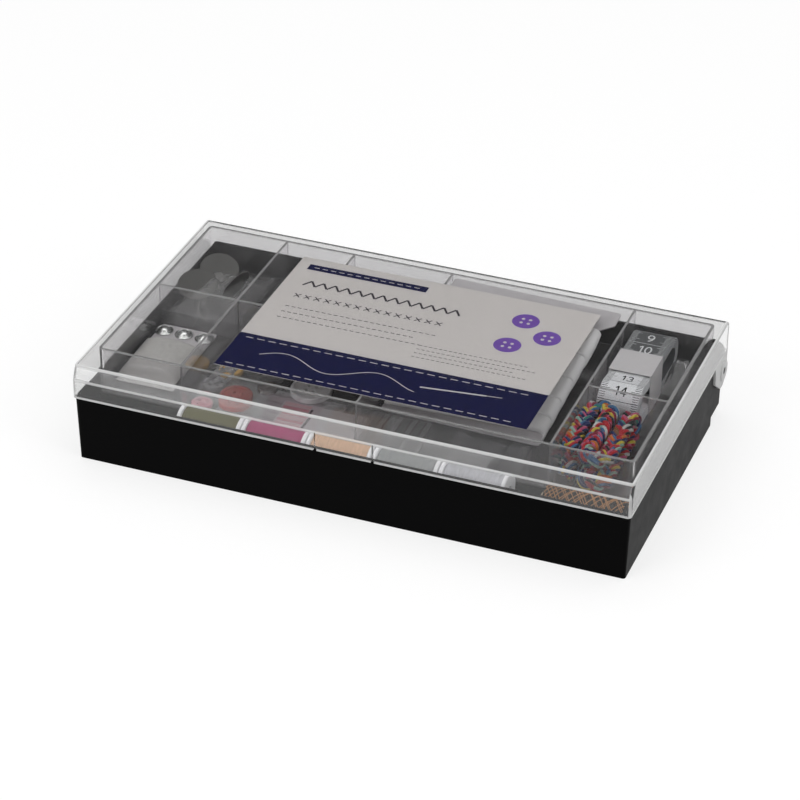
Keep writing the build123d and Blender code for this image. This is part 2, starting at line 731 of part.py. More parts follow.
braid_front = cell_front + BRAID_FRONT_SPACE
braid_rear = divider_tape - DIVIDER / 2 - BRAID_REAR_SPACE
with BuildPart() as thread_braid:
    runs = braid_route()
    with BuildLine() as braid_path:
        going_back = True
        for index, (run_x, run_z) in enumerate(runs):
            start_y = braid_front if going_back else braid_rear
            end_y = braid_rear if going_back else braid_front
            Line((run_x, start_y, run_z), (run_x, end_y, run_z))
            if index + 1 < len(runs):
                next_x, next_z = runs[index + 1]
                bulge = math.hypot(next_x - run_x, next_z - run_z) / 2
                middle_y = end_y + (bulge if going_back else -bulge)
                middle = ((run_x + next_x) / 2, middle_y, (run_z + next_z) / 2)
                ThreePointArc((run_x, end_y, run_z), middle, (next_x, end_y, next_z))
            going_back = not going_back
    with BuildSketch(Plane(origin=(runs[0][0], braid_front, runs[0][1]), z_dir=(0, 1, 0))):
        Circle(BRAID_RADIUS)
    sweep()
half_turn = math.pi * BRAID_PITCH / 2
print("braid least gap to itself", least_gap(braid_path.wires()[0], half_turn, 2 * BRAID_RADIUS))
save(thread_braid, "thread_braid")


# Snap fasteners on their card, with the drying sachet lying over its front part
snap_card_top = tray_floor_top + CARD_THICK
snap_card_x = cell_left + SNAP_CARD_SIDE_SPACE + SNAP_CARD_SIZE[0] / 2
snap_card_y = cross_front - SNAP_CARD_REAR_SPACE - SNAP_CARD_SIZE[1] / 2
with BuildPart() as snap_card:
    with BuildSketch(Plane.XY.offset(tray_floor_top)):
        with Locations((snap_card_x, snap_card_y)):
            RectangleRounded(*SNAP_CARD_SIZE, CARD_CORNER)
    extrude(amount=CARD_THICK)
save(snap_card, "snap_card")

snap_y = snap_card_y + SNAP_CARD_SIZE[1] / 2 - SNAP_EDGE
dome_radius = (SNAP_DOME_RADIUS**2 + SNAP_DOME_HEIGHT**2) / (2 * SNAP_DOME_HEIGHT)
dome_angle = math.asin(SNAP_DOME_RADIUS / dome_radius)
dome_centre = snap_card_top + SNAP_RIM + SNAP_DOME_HEIGHT - dome_radius
dome_mid_rise = dome_radius * math.cos(dome_angle / 2)
with BuildPart() as snap_fasteners:
    for step in (-1, 0, 1):
        snap_x = snap_card_x + step * SNAP_SPACING
        with BuildSketch(Plane.XZ.offset(-snap_y)):
            with BuildLine():
                dome_foot = (snap_x + SNAP_DOME_RADIUS, snap_card_top + SNAP_RIM)
                dome_mid = (snap_x + dome_radius * math.sin(dome_angle / 2), dome_centre + dome_mid_rise)
                crown = (snap_x, snap_card_top + SNAP_RIM + SNAP_DOME_HEIGHT)
                Polyline(
                    crown,
                    (snap_x, snap_card_top),
                    (snap_x + SNAP_RADIUS, snap_card_top),
                    (snap_x + SNAP_RADIUS, snap_card_top + SNAP_RIM),
                    dome_foot,
                )
                ThreePointArc(dome_foot, dome_mid, crown)
            make_face()
        revolve(axis=Axis((snap_x, snap_y, 0), (0, 0, 1)))
save(snap_fasteners, "snap_fasteners")

sachet_front = cell_front + SACHET_FRONT_SPACE
sachet_rear = cross_front - SACHET_REAR_SPACE
sachet_x = cell_left + SACHET_SIDE_SPACE + SACHET_WIDTH / 2
with BuildPart() as desiccant_sachet:
    with BuildSketch(Plane.XY.offset(snap_card_top + SEAT_GAP)):
        with Locations(Location((sachet_x, (sachet_front + sachet_rear) / 2, 0), (0, 0, SACHET_YAW))):
            RectangleRounded(SACHET_WIDTH, sachet_rear - sachet_front, SACHET_ROUND)
    extrude(amount=SACHET_THICK)
    fillet(desiccant_sachet.faces().filter_by(Axis.Z).edges(), SACHET_ROUND)
save(desiccant_sachet, "desiccant_sachet")


def in_rear_cell(place):
    """A point given from the left rear compartment's front left corner, on the tray's floor."""
    return (cell_left + place[0], cross_rear + place[1], tray_floor_top + place[2])


threaders = [(in_rear_cell(centre), in_rear_cell(tip)) for centre, tip in THREADER_PLACES]


def threader_plane(centre, tip):
    """The plane of a threader, with its local Y pointing from the tip to the plate's centre."""
    along = (Vector(*centre) - Vector(*tip)).normalized()
    across = along.cross(Vector(0, 0, 1)).normalized()
    return Plane(origin=centre, x_dir=across, z_dir=across.cross(along))


with BuildPart() as threader_plates:
    for centre, tip in threaders:
        with BuildSketch(threader_plane(centre, tip)):
            Ellipse(THREADER_PLATE[1], THREADER_PLATE[0])
        extrude(amount=THREADER_THICK)
save(threader_plates, "threader_plates")

with BuildPart() as threader_wires:
    for centre, tip in threaders:
        with BuildSketch(threader_plane(centre, tip)):
            reach = (Vector(*centre) - Vector(*tip)).length
            with BuildLine():
                neck = (0, -THREADER_PLATE[0] - SEAT_GAP / 3)
                middle = -(THREADER_PLATE[0] + reach) / 2
                Polyline(
                    neck, (THREADER_LOOP / 2, middle), (0, -reach), (-THREADER_LOOP / 2, middle), close=True
                )
            make_face()
            offset(amount=-THREADER_WIRE, kind=Kind.INTERSECTION, mode=Mode.SUBTRACT)
        extrude(amount=THREADER_WIRE)
save(threader_wires, "threader_wires")


def make_button(x, y, radius, thick):
    """A dished button with four holes, flat on the tray's floor."""
    with BuildPart() as button:
        with BuildSketch(Plane.XY.offset(tray_floor_top)):
            with Locations((x, y)):
                Circle(radius)
        extrude(amount=thick)
        fillet(button.edges(), BUTTON_ROUND)
        with BuildSketch(Plane.XY.offset(tray_floor_top + thick)):
            with Locations((x, y)):
                Circle(radius - BUTTON_RIM)
        extrude(amount=-BUTTON_DISH, mode=Mode.SUBTRACT)
        with BuildSketch(Plane.XY.offset(tray_floor_top)):
            with Locations((x, y)):
                with GridLocations(2 * BUTTON_HOLE_OFFSET, 2 * BUTTON_HOLE_OFFSET, 2, 2):
                    Circle(BUTTON_HOLE)
        extrude(amount=thick, mode=Mode.SUBTRACT)
    return button


button_left = divider_left + DIVIDER / 2
for button_name, (button_x, button_y, button_radius, button_thick) in BUTTONS.items():
    button = make_button(button_left + button_x, cell_front + button_y, button_radius, button_thick)
    save(button, button_name)


def make_card(x, front, under, size):
    """A flat card from its left edge, its front edge, the height it lies at and its size."""
    with BuildPart() as card:
        with BuildSketch(Plane.XY.offset(under)):
            with Locations((x + size[0] / 2, front + size[1] / 2)):
                RectangleRounded(*size, CARD_CORNER)
        extrude(amount=CARD_THICK)
    return card


needle_card_x = divider_middle - DIVIDER / 2 - NEEDLE_CARD_SIDE_SPACE - NEEDLE_CARD_SIZE[0]
needle_card_front = cell_front + NEEDLE_CARD_FRONT_SPACE
save(make_card(needle_card_x, needle_card_front, tray_floor_top, NEEDLE_CARD_SIZE), "needle_card")

floor_card_x = PARTITION_LEFT + PARTITION / 2 + FLOOR_CARD_GAP
floor_card_front = channel_wall + FLOOR_CARD_FRONT_SPACE
for card_name, length in (("hook_card", HOOK_CARD_LENGTH), ("sample_card", SAMPLE_CARD_LENGTH)):
    save(make_card(floor_card_x, floor_card_front, BASE_FLOOR, (length, FLOOR_CARD_DEPTH)), card_name)
    floor_card_x += length + FLOOR_CARD_GAP


# Printed card under the lid's top
with BuildPart() as label_card:
    with BuildSketch(Plane.XY.offset(lid_under)):
        with Locations(LABEL_CENTRE):
            RectangleRounded(LABEL_LENGTH, LABEL_DEPTH, CARD_CORNER / 2)
    extrude(amount=-LABEL_THICK)
save(label_card, "label_card")
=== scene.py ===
import math
import random

import bpy
from mathutils import Matrix, Vector, noise


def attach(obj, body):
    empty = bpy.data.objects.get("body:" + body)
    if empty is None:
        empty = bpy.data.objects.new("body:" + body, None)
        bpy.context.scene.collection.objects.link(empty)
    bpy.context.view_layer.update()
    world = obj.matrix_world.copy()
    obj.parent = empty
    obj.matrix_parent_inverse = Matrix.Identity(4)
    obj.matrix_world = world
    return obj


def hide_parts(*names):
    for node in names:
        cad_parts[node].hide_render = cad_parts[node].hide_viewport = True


# Sewing kit box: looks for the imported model.
# Sizes are in millimetres and turned to metres where a mesh is made.
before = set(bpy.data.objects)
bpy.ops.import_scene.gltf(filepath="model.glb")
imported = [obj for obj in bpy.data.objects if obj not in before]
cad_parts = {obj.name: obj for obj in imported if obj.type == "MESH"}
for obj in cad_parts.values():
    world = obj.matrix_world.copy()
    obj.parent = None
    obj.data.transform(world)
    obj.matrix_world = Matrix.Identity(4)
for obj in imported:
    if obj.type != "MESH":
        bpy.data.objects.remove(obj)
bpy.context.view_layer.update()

MM = 0.001
CASE = "case"
COVER = "cover"


def add_object(name, data):
    made = bpy.data.objects.new(name, data)
    bpy.context.scene.collection.objects.link(made)
    return made


# Node and material helpers


def add_node(tree, kind, inputs):
    """A node whose inputs are set to values or linked to the outputs of other nodes."""
    node = tree.nodes.new("ShaderNode" + kind)
    for key, value in inputs.items():
        if isinstance(value, bpy.types.NodeSocket):
            tree.links.new(value, node.inputs[key])
        else:
            node.inputs[key].default_value = value
    return node


def calculate(tree, operation, first, second=0.5):
    """The result of a math node. An operation on one value leaves the second out."""
    node = add_node(tree, "Math", {0: first, 1: second})
    node.operation = operation
    return node.outputs[0]


def map_range(tree, value, low, high, to_low=0.0, to_high=1.0):
    """Runs from to_low where a value is low to to_high where it is high."""
    ends = {"From Min": low, "From Max": high, "To Min": to_low, "To Max": to_high}
    return add_node(tree, "MapRange", {"Value": value, **ends}).outputs["Result"]


def mix_surface(tree, share, first, second, end="Material Output"):
    """Mix two shaders and give the result to the node at the tree's end."""
    mix = add_node(tree, "MixShader", {"Fac": share, 1: first, 2: second})
    tree.links.new(mix.outputs["Shader"], tree.nodes[end].inputs["Surface"])
    return mix


def principled(name, colour, roughness, **sockets):
    """A material on one principled shader. Sockets are named with underscores for spaces."""
    material = bpy.data.materials.new(name)
    material.use_nodes = True
    shader = material.node_tree.nodes["Principled BSDF"]
    shader.inputs["Base Color"].default_value = (*colour, 1.0)
    shader.inputs["Roughness"].default_value = roughness
    for socket, value in sockets.items():
        shader.inputs[socket.replace("_", " ")].default_value = value
    return material


def feed(material, socket, output):
    """Link an output to a socket of the material's principled shader."""
    tree = material.node_tree
    tree.links.new(output, tree.nodes["Principled BSDF"].inputs[socket])


def object_coordinates(tree, scale=(1.0, 1.0, 1.0)):
    """Object coordinates in millimetres, scaled per axis."""
    place = add_node(tree, "TexCoord", {}).outputs["Object"]
    per_metre = tuple(s / MM for s in scale)
    return add_node(tree, "Mapping", {"Vector": place, "Scale": per_metre}).outputs["Vector"]


def noise_output(material, scale, detail=3.0, stretch=(1.0, 1.0, 1.0)):
    """Noise with a feature size of about 1 / scale millimetres."""
    tree = material.node_tree
    inputs = {"Vector": object_coordinates(tree, stretch), "Scale": scale, "Detail": detail}
    return add_node(tree, "TexNoise", inputs).outputs["Fac"]


def wave_output(material, scale, direction, distortion=0.0):
    """Bands across an axis, about 3.2 * scale of them to the millimetre."""
    tree = material.node_tree
    inputs = {"Vector": object_coordinates(tree), "Scale": scale, "Distortion": distortion}
    wave = add_node(tree, "TexWave", inputs)
    wave.bands_direction = direction
    return wave.outputs["Fac"]


def add_bump(material, height, strength, distance=0.1):
    """Raise the surface by a height output, in millimetres."""
    inputs = {"Height": height, "Strength": strength, "Distance": distance * MM}
    bump = add_node(material.node_tree, "Bump", inputs)
    feed(material, "Normal", bump.outputs["Normal"])


def ramp_colour(material, factor, stops, interpolation="LINEAR"):
    """Let a factor output lead the base colour through stops of (position, colour)."""
    ramp = add_node(material.node_tree, "ValToRGB", {"Fac": factor})
    ramp.color_ramp.interpolation = interpolation
    elements = ramp.color_ramp.elements
    for number, (position, colour) in enumerate(stops):
        element = elements[number] if number < 2 else elements.new(position)
        element.position = position
        element.color = (*colour, 1.0)
    feed(material, "Base Color", ramp.outputs["Color"])


def vary_roughness(material, grain, low, high):
    """Let noise of a scale and detail vary the roughness."""
    factor = noise_output(material, *grain)
    feed(material, "Roughness", map_range(material.node_tree, factor, 0.0, 1.0, low, high))


def shade(colour, factor):
    return tuple(min(1.0, c * factor) for c in colour)


def mottle(material, colour, grain, low, high):
    """Let noise of a scale and detail vary the base colour between two shades of it."""
    factor = noise_output(material, *grain)
    ramp_colour(material, factor, ((0.3, shade(colour, low)), (0.7, shade(colour, high))))


def clear_material(name, tint, roughness, ior, light, haze):
    """Clear plastic that bends what is seen through it and lets lamps shine through it."""
    material = principled(name, tint, roughness, IOR=ior, Transmission_Weight=1.0 - haze)
    tree = material.node_tree
    shadow_ray = add_node(tree, "LightPath", {}).outputs["Is Shadow Ray"]
    plastic = tree.nodes["Principled BSDF"].outputs["BSDF"]
    passing = add_node(tree, "BsdfTransparent", {"Color": (light, light, light, 1.0)})
    mix_surface(tree, shadow_ray, plastic, passing.outputs["BSDF"]).name = "shadow_mix"
    add_bump(material, noise_output(material, 0.05, 2.0), 0.06, 0.5)
    return material


def paint_edge_highlights(material, regions, share, brightness):
    """Paint a white diffuse highlight on edges and rims of clear plastic, which look white as they
    gather light from the whole wall.

    A region holds (axis, start, full) and takes the painted highlight fully past full on each of
    its axes."""
    tree = material.node_tree
    place = add_node(tree, "SeparateXYZ", {0: object_coordinates(tree)})
    outward = calculate(tree, "ABSOLUTE", place.outputs["X"])
    values = {"x": outward, "y": place.outputs["Y"], "z": place.outputs["Z"]}
    highlight_mask = None
    for region in regions:
        part = None
        for axis, start, full in region:
            step = map_range(tree, values[axis], start, full)
            part = step if part is None else calculate(tree, "MULTIPLY", part, step)
        highlight_mask = part if highlight_mask is None else calculate(tree, "MAXIMUM", highlight_mask, part)
    highlight_mask = calculate(tree, "MULTIPLY", highlight_mask, share)
    # Painted highlight: a grey diffuse shader mixed in over the mask
    grey = (brightness, brightness, brightness, 1.0)
    painted_highlight = add_node(tree, "BsdfDiffuse", {"Color": grey}).outputs["BSDF"]
    mix_surface(tree, highlight_mask, tree.nodes["shadow_mix"].outputs["Shader"], painted_highlight)


# Materials


def black_plastic():
    colour = (0.0014, 0.0014, 0.0015)
    material = principled("black_plastic", colour, 0.42, Specular_IOR_Level=0.03)
    vary_roughness(material, (0.15, 4.0), 0.34, 0.48)
    add_bump(material, noise_output(material, 6.0, 2.0), 0.12, 0.03)
    return material


def thread_material(name, colour):
    sheen = {"Sheen_Weight": 0.25, "Sheen_Roughness": 0.4}
    material = principled(name, colour, 0.5, Specular_IOR_Level=0.35, **sheen)
    mottle(material, colour, (2.2, 3.0, (1.0, 0.15, 0.15)), 0.8, 1.15)
    add_bump(material, noise_output(material, 9.0, 2.0), 0.3, 0.05)
    return material


def card_material(name, colour, roughness):
    material = principled(name, colour, roughness)
    mottle(material, colour, (0.4, 4.0), 0.965, 1.02)
    add_bump(material, noise_output(material, 4.0, 3.0), 0.1, 0.02)
    return material


def banded_card(name, ground, bands, direction, scale):
    """Card printed with bands of colour."""
    material = card_material(name, ground, 0.4)
    ramp_colour(material, wave_output(material, scale, direction), bands, "CONSTANT")
    return material


def ink(name, colour, roughness=0.42):
    material = principled(name, colour, roughness, Specular_IOR_Level=0.1)
    mottle(material, colour, (1.5, 3.0), 0.95, 1.05)
    return material


def metal(name, colour, roughness):
    material = principled(name, colour, roughness, Metallic=1.0)
    vary_roughness(material, (0.8, 4.0), roughness * 0.7, roughness * 1.4)
    return material


def elastic_material():
    colour = (0.78, 0.775, 0.78)
    material = principled("elastic", colour, 0.75, Sheen_Weight=0.3, Specular_IOR_Level=0.3)
    add_bump(material, wave_output(material, 0.42, "Y", 0.6), 0.35, 0.12)
    cloth = noise_output(material, 1.2, 4.0)
    ramp_colour(material, cloth, ((0.3, (0.74, 0.735, 0.74)), (0.7, (0.81, 0.805, 0.81))))
    return material


PLASTIC_IOR = 1.49
FILM_IOR = 1.12
LID_CLEAR = clear_material("clear_lid", (0.93, 0.93, 0.93), 0.01, PLASTIC_IOR, 0.96, 0.004)
# Regions of the lid's edges and rim that get a painted highlight
LID_HIGHLIGHT_EDGES = [
    [("z", 40.9, 41.2), ("z", 42.4, 42.1), ("y", -74.1, -74.4)],
    [("z", 47.0, 47.3), ("y", -70.9, -71.2)],
    [("z", 46.9, 47.2), ("x", 129.6, 129.9)],
    [("z", 45.9, 46.2), ("y", 73.2, 73.5)],
    [("x", 129.6, 129.9), ("y", -73.5, -73.8)],
    [("z", 33.1, 32.8)],
]
paint_edge_highlights(LID_CLEAR, LID_HIGHLIGHT_EDGES, 0.72, 0.85)
TRAY_CLEAR = clear_material("clear_tray", (0.87, 0.86, 0.87), 0.03, PLASTIC_IOR, 0.94, 0.045)
# Painted highlight along the top rim of the tray walls
paint_edge_highlights(TRAY_CLEAR, [[("z", 45.0, 45.25)]], 0.4, 0.5)
FILM_CLEAR = clear_material("clear_film", (0.97, 0.97, 0.97), 0.2, FILM_IOR, 0.96, 0.035)
BLACK = black_plastic()
SCATTER = {"Subsurface_Weight": 0.12, "Subsurface_Radius": (1.0, 1.0, 1.0)}
SCATTER["Subsurface_Scale"] = 0.002
SPOOL_WHITE = principled("spool_plastic", (0.82, 0.82, 0.84), 0.28, **SCATTER)
add_bump(SPOOL_WHITE, noise_output(SPOOL_WHITE, 1.5, 2.0), 0.08, 0.04)
WHITE_CARD = card_material("white_card", (0.53, 0.51, 0.525), 0.5)
SACHET_PAPER = card_material("sachet_paper", (0.5, 0.49, 0.475), 0.62)
BAND_PAPER = card_material("band_paper", (0.56, 0.545, 0.555), 0.4)
CORE_CARD = card_material("core_card", (0.42, 0.33, 0.22), 0.7)
PALE_PRINT = card_material("pale_print", (0.62, 0.59, 0.575), 0.36)
NAVY_INK = ink("navy_ink", (0.003, 0.004, 0.045))
PURPLE_INK = ink("purple_ink", (0.175, 0.085, 0.4))
GREY_INK = ink("grey_ink", (0.045, 0.04, 0.05))
PALE_INK = ink("pale_ink", (0.6, 0.585, 0.58))
SNAP_METAL = metal("snap_metal", (0.76, 0.77, 0.76), 0.16)
PLATE_METAL = principled("plate_metal", (0.095, 0.093, 0.09), 0.45, Metallic=0.3)
vary_roughness(PLATE_METAL, (0.8, 4.0), 0.35, 0.55)
WIRE_METAL = metal("wire_metal", (0.72, 0.71, 0.68), 0.2)
ELASTIC = elastic_material()
TAPE_WHITE = ink("tape_white", (0.77, 0.78, 0.8), 0.35)
TAPE_DARK = ink("tape_dark", (0.115, 0.118, 0.122), 0.38)
TAPE_BLACK_INK = ink("tape_black_ink", (0.02, 0.02, 0.022))
TAPE_PALE_INK = ink("tape_pale_ink", (0.72, 0.73, 0.74))

THREAD_COLOURS = {
    "olive": (0.094, 0.088, 0.022),
    "magenta": (0.345, 0.026, 0.13),
    "peach": (0.66, 0.43, 0.285),
    "grey": (0.3, 0.31, 0.31),
    "white": (0.5, 0.5, 0.53),
}
BRONZE = thread_material("bronze_thread", (0.36, 0.15, 0.025))
# Near-black core of the bronze reel: painted shade in the gaps between its strands
BRONZE_PAINTED_SHADE = ink("bronze_painted_shade", (0.012, 0.006, 0.003), 0.7)
BRAID_COLOURS = {
    "red": (0.62, 0.02, 0.035),
    "white": (0.8, 0.8, 0.78),
    "black": (0.012, 0.012, 0.016),
    "navy": (0.02, 0.035, 0.16),
    "blue": (0.06, 0.2, 0.42),
    "teal": (0.03, 0.28, 0.24),
    "mint": (0.42, 0.66, 0.56),
    "yellow": (0.86, 0.68, 0.07),
    "orange": (0.78, 0.2, 0.03),
    "pink": (0.72, 0.12, 0.26),
    "brown": (0.3, 0.12, 0.04),
    "crimson": (0.32, 0.015, 0.05),
}
BUTTON_COLOURS = {
    "button_white": (0.85, 0.85, 0.86),
    "button_red": (0.55, 0.04, 0.03),
    "button_yellow": (0.75, 0.42, 0.05),
    "button_brown": (0.06, 0.028, 0.018),
    "button_pink": (0.7, 0.3, 0.36),
    "button_grey": (0.3, 0.3, 0.32),
}


# Mesh helpers


class Shape:
    """Gathers points in millimetres, faces and the material index of each face."""

    def __init__(self):
        self.verts = []
        self.faces = []
        self.slots = []

    def add(self, verts, faces, slot=0):
        first = len(self.verts)
        self.verts += [tuple(v) for v in verts]
        self.faces += [tuple(first + index for index in face) for face in faces]
        self.slots += [slot] * len(faces)

    def piece(self, name, materials, slot, body=CASE, smooth=True):
        """The mesh object of what was gathered."""
        mesh = bpy.data.meshes.new(name)
        mesh.from_pydata([tuple(MM * v for v in point) for point in self.verts], [], self.faces)
        for material in materials:
            mesh.materials.append(material)
        for polygon, index in zip(mesh.polygons, self.slots):
            polygon.material_index = index
            polygon.use_smooth = smooth
        mesh.validate()
        piece = add_object(name, mesh)
        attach(piece, body)
        return piece


def grid_faces(rows, columns, close_rows=False, close_columns=False):
    """Quads between rows and columns of points."""
    faces = []
    for i in range(rows if close_rows else rows - 1):
        for j in range(columns if close_columns else columns - 1):
            near, far = i * columns, (i + 1) % rows * columns
            beside = (j + 1) % columns
            faces.append((near + j, near + beside, far + beside, far + j))
    return faces


def rough(*place):
    """Smooth noise at a place."""
    return noise.noise(Vector(place))


def strip_faces(steps):
    """Quads along a strip whose points come in pairs."""
    return [(2 * k, 2 * k + 1, 2 * k + 3, 2 * k + 2) for k in range(steps)]


def path_frames(points):
    """A point, tangent, side and up vector for each point, carried along without twist."""
    points = [Vector(p) for p in points]
    tangents = []
    for k in range(len(points)):
        ahead = points[min(k + 1, len(points) - 1)]
        behind = points[max(k - 1, 0)]
        tangents.append((ahead - behind).normalized())
    side = tangents[0].cross(Vector((0.0, 0.0, 1.0)))
    if side.length < 0.01:
        side = tangents[0].cross(Vector((1.0, 0.0, 0.0)))
    side.normalize()
    frames = []
    for point, tangent in zip(points, tangents):
        side = (side - tangent * side.dot(tangent)).normalized()
        frames.append((point, tangent, side, side.cross(tangent)))
    return frames


def polar(x, y, radius, angle):
    return (x + radius * math.cos(angle), y + radius * math.sin(angle))


def circle(steps):
    """Cosines and sines of the steps of a full turn."""
    return [polar(0.0, 0.0, 1.0, math.tau * k / steps) for k in range(steps)]


def tube(points, radius, sides):
    """Points and faces of a round tube along a route, closed at its ends."""
    frames = path_frames(points)
    verts = [
        point + radius * (cosine * side + sine * up)
        for point, _, side, up in frames
        for cosine, sine in circle(sides)
    ]
    faces = grid_faces(len(frames), sides, close_columns=True)
    faces.append(tuple(range(sides - 1, -1, -1)))
    faces.append(tuple(range(len(verts) - sides, len(verts))))
    return verts, faces


def revolved(profile, centre, axis, steps):
    """Points and faces of a profile of (radius, height) turned about an axis."""
    verts = []
    for radius, height in profile:
        for cosine, sine in circle(steps):
            u, v = radius * cosine, radius * sine
            offset = (u, v, height) if axis == "Z" else (height, u, v)
            verts.append(tuple(c + o for c, o in zip(centre, offset)))
    return verts, grid_faces(len(profile), steps, close_columns=True)


def slab(outline, low, high):
    """Points and faces of an upright prism over a plan outline."""
    count = len(outline)
    verts = [(x, y, z) for z in (low, high) for x, y in outline]
    faces = [tuple(range(count - 1, -1, -1)), tuple(range(count, 2 * count))]
    for k in range(count):
        beside = (k + 1) % count
        faces.append((k, beside, count + beside, count + k))
    return verts, faces


def rectangle(x0, y0, x1, y1):
    return [(x0, y0), (x1, y0), (x1, y1), (x0, y1)]


CORNER_STEPS = 5


def round_outline(x0, y0, x1, y1, radius):
    """The plan outline of a rectangle with rounded corners."""
    left, right = x0 + radius, x1 - radius
    front, rear = y0 + radius, y1 - radius
    corners = [(right, rear), (left, rear), (left, front), (right, front)]
    outline = []
    for quarter, (x, y) in enumerate(corners):
        for k in range(CORNER_STEPS + 1):
            angle = math.pi / 2.0 * (quarter + k / CORNER_STEPS)
            outline.append(polar(x, y, radius, angle))
    return outline


def set_material(node, material):
    """Give a carried-over node a better material."""
    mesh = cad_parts[node].data
    mesh.materials.clear()
    mesh.materials.append(material)


# Camera at the photo's angle

FOCAL_PIXELS = 3005.36
PICTURE = 800.0
SENSOR = 36.0
FAR_CLIP = 20.0
AZIMUTH = math.radians(20.796)
ELEVATION = math.radians(32.096)
ROLL = math.radians(0.516)
SIDE_SHIFT = -1.971
RISE = 15.108
DISTANCE = 1385.83

flat_reach = math.cos(ELEVATION)
back = Vector(
    (math.sin(AZIMUTH) * flat_reach, -math.cos(AZIMUTH) * flat_reach, math.sin(ELEVATION))
)
level = Vector((math.cos(AZIMUTH), math.sin(AZIMUTH), 0.0))
upright = back.cross(level)
right = level * math.cos(ROLL) + upright * math.sin(ROLL)
up = upright * math.cos(ROLL) - level * math.sin(ROLL)
eye = (back * DISTANCE + right * SIDE_SHIFT + up * RISE) * MM
camera_data = bpy.data.cameras.new("camera")
camera_data.sensor_width = SENSOR
camera_data.lens = FOCAL_PIXELS * SENSOR / PICTURE
camera_data.clip_end = FAR_CLIP
camera = add_object("camera", camera_data)
turn = Matrix((right, up, back)).transposed().to_4x4()
camera.matrix_world = Matrix.Translation(eye) @ turn
bpy.context.scene.camera = camera


# Materials of the nodes that stay

node_looks = {
    BLACK: ("base_box", "base_partitions", "cradle_ribs", "hinge_pins"),
    LID_CLEAR: ("lid",),
    TRAY_CLEAR: ("tray_floor", "tray_walls", "tray_dividers"),
    SPOOL_WHITE: [f"spool_{colour_name}" for colour_name in THREAD_COLOURS],
    CORE_CARD: ("reel_core",),
    WHITE_CARD: ("elastic_card", "snap_card"),
    BAND_PAPER: ("tape_band",),
    PLATE_METAL: ("threader_plates",),
}
for look, node_names in node_looks.items():
    for node_name in node_names:
        set_material(node_name, look)
for button_name, button_colour in BUTTON_COLOURS.items():
    plastic = principled(f"{button_name}_plastic", button_colour, 0.25, Coat_Weight=0.3)
    mottle(plastic, button_colour, (0.35, 3.0), 0.85, 1.1)
    set_material(button_name, plastic)
hook_bands = [(0.0, (0.76, 0.76, 0.77)), (0.85, (0.5, 0.5, 0.52))]
set_material("hook_card", banded_card("hook_card", (0.75, 0.75, 0.75), hook_bands, "Y", 0.05))
sample_bands = [(0.0, (0.24, 0.26, 0.23)), (0.4, (0.16, 0.13, 0.1)), (0.75, (0.42, 0.42, 0.4))]
sample_print = banded_card("sample_card", (0.3, 0.32, 0.28), sample_bands, "X", 0.045)
set_material("sample_card", sample_print)


# Printed card under the lid: a design of stitches and buttons

LABEL_LOW = (-73.7, -46.9)
LABEL_HIGH = (74.3, 58.1)
LABEL_CORNER = 0.6
LABEL_UNDER = 46.37
LABEL_TOP = 46.6
PRINT_Z = 46.62
PRINT_OVER = PRINT_Z + 0.01
CROSSING_Z = PRINT_Z + 0.004
BAND_DEPTH = 30.0
STITCH_INSET = (4.0, 3.2)
DISC_STEPS = 40
HOLE_STEPS = 16
# Dash, gap and width of running stitches
BAND_STITCH = (3.6, 1.9, 0.55)
TITLE_STITCH = (2.6, 1.6, 0.5)
LONG_STITCH = (1.9, 1.1, 0.5)
SHORT_STITCH = (1.5, 0.9, 0.42)
# Material indices of the printed card
PAPER, NAVY, PURPLE, GREY, PALE = range(5)


def flat_polygon(shape, outline, slot, z=PRINT_Z):
    shape.add([(x, y, z) for x, y in outline], [tuple(range(len(outline)))], slot)


def flat_disc(x, y, radius, slot, z=PRINT_Z, steps=DISC_STEPS):
    outline = [polar(x, y, radius, math.tau * k / steps) for k in range(steps)]
    flat_polygon(label, outline, slot, z)


def flat_line(start, end, width, slot, z=PRINT_Z):
    a, b = Vector(start), Vector(end)
    along = b - a
    side = Vector((-along.y, along.x)).normalized() * width / 2.0
    flat_polygon(label, [tuple(p) for p in (a + side, a - side, b - side, b + side)], slot, z)


def dashes(x0, x1, y, stitch, slot, z=PRINT_Z):
    """A row of running stitches across the card."""
    dash, gap, width = stitch
    start = Vector((x0, y))
    along = Vector((x1, y)) - start
    step = along.normalized()
    for k in range(int((along.length + gap) / (dash + gap))):
        first = start + step * k * (dash + gap)
        flat_line(tuple(first), tuple(first + step * dash), width, slot, z)


def flat_path(points, width, slot, z=PRINT_Z):
    for start, end in zip(points, points[1:]):
        flat_line(start, end, width, slot, z)


def printed_button(x, y, radius):
    flat_disc(x, y, radius, PURPLE)
    for side_x in (-1, 1):
        for side_y in (-1, 1):
            hole = (x + side_x * radius * 0.27, y + side_y * radius * 0.27, radius * 0.13)
            flat_disc(*hole, PAPER, PRINT_OVER, HOLE_STEPS)


label = Shape()
label.add(*slab(round_outline(*LABEL_LOW, *LABEL_HIGH, LABEL_CORNER), LABEL_UNDER, LABEL_TOP))
band_top = LABEL_LOW[1] + BAND_DEPTH
flat_polygon(label, rectangle(*LABEL_LOW, LABEL_HIGH[0], band_top), NAVY)
for stitch_y in (band_top - STITCH_INSET[1], LABEL_LOW[1] + STITCH_INSET[1]):
    stitch_ends = (LABEL_LOW[0] + STITCH_INSET[0], LABEL_HIGH[0] - STITCH_INSET[0])
    dashes(*stitch_ends, stitch_y, BAND_STITCH, PALE, PRINT_OVER)
# A needle with its thread in the band
thread_points = [(-58 + t * 1.1, -32 + 4.5 * math.sin(t / 6.5)) for t in range(70)]
flat_path(thread_points, 0.5, PALE, PRINT_OVER)
flat_line((19, -31.4), (49, -27.6), 1.0, PALE, PRINT_OVER)
flat_line((49, -27.6), (56, -26.7), 0.45, PALE, PRINT_OVER)
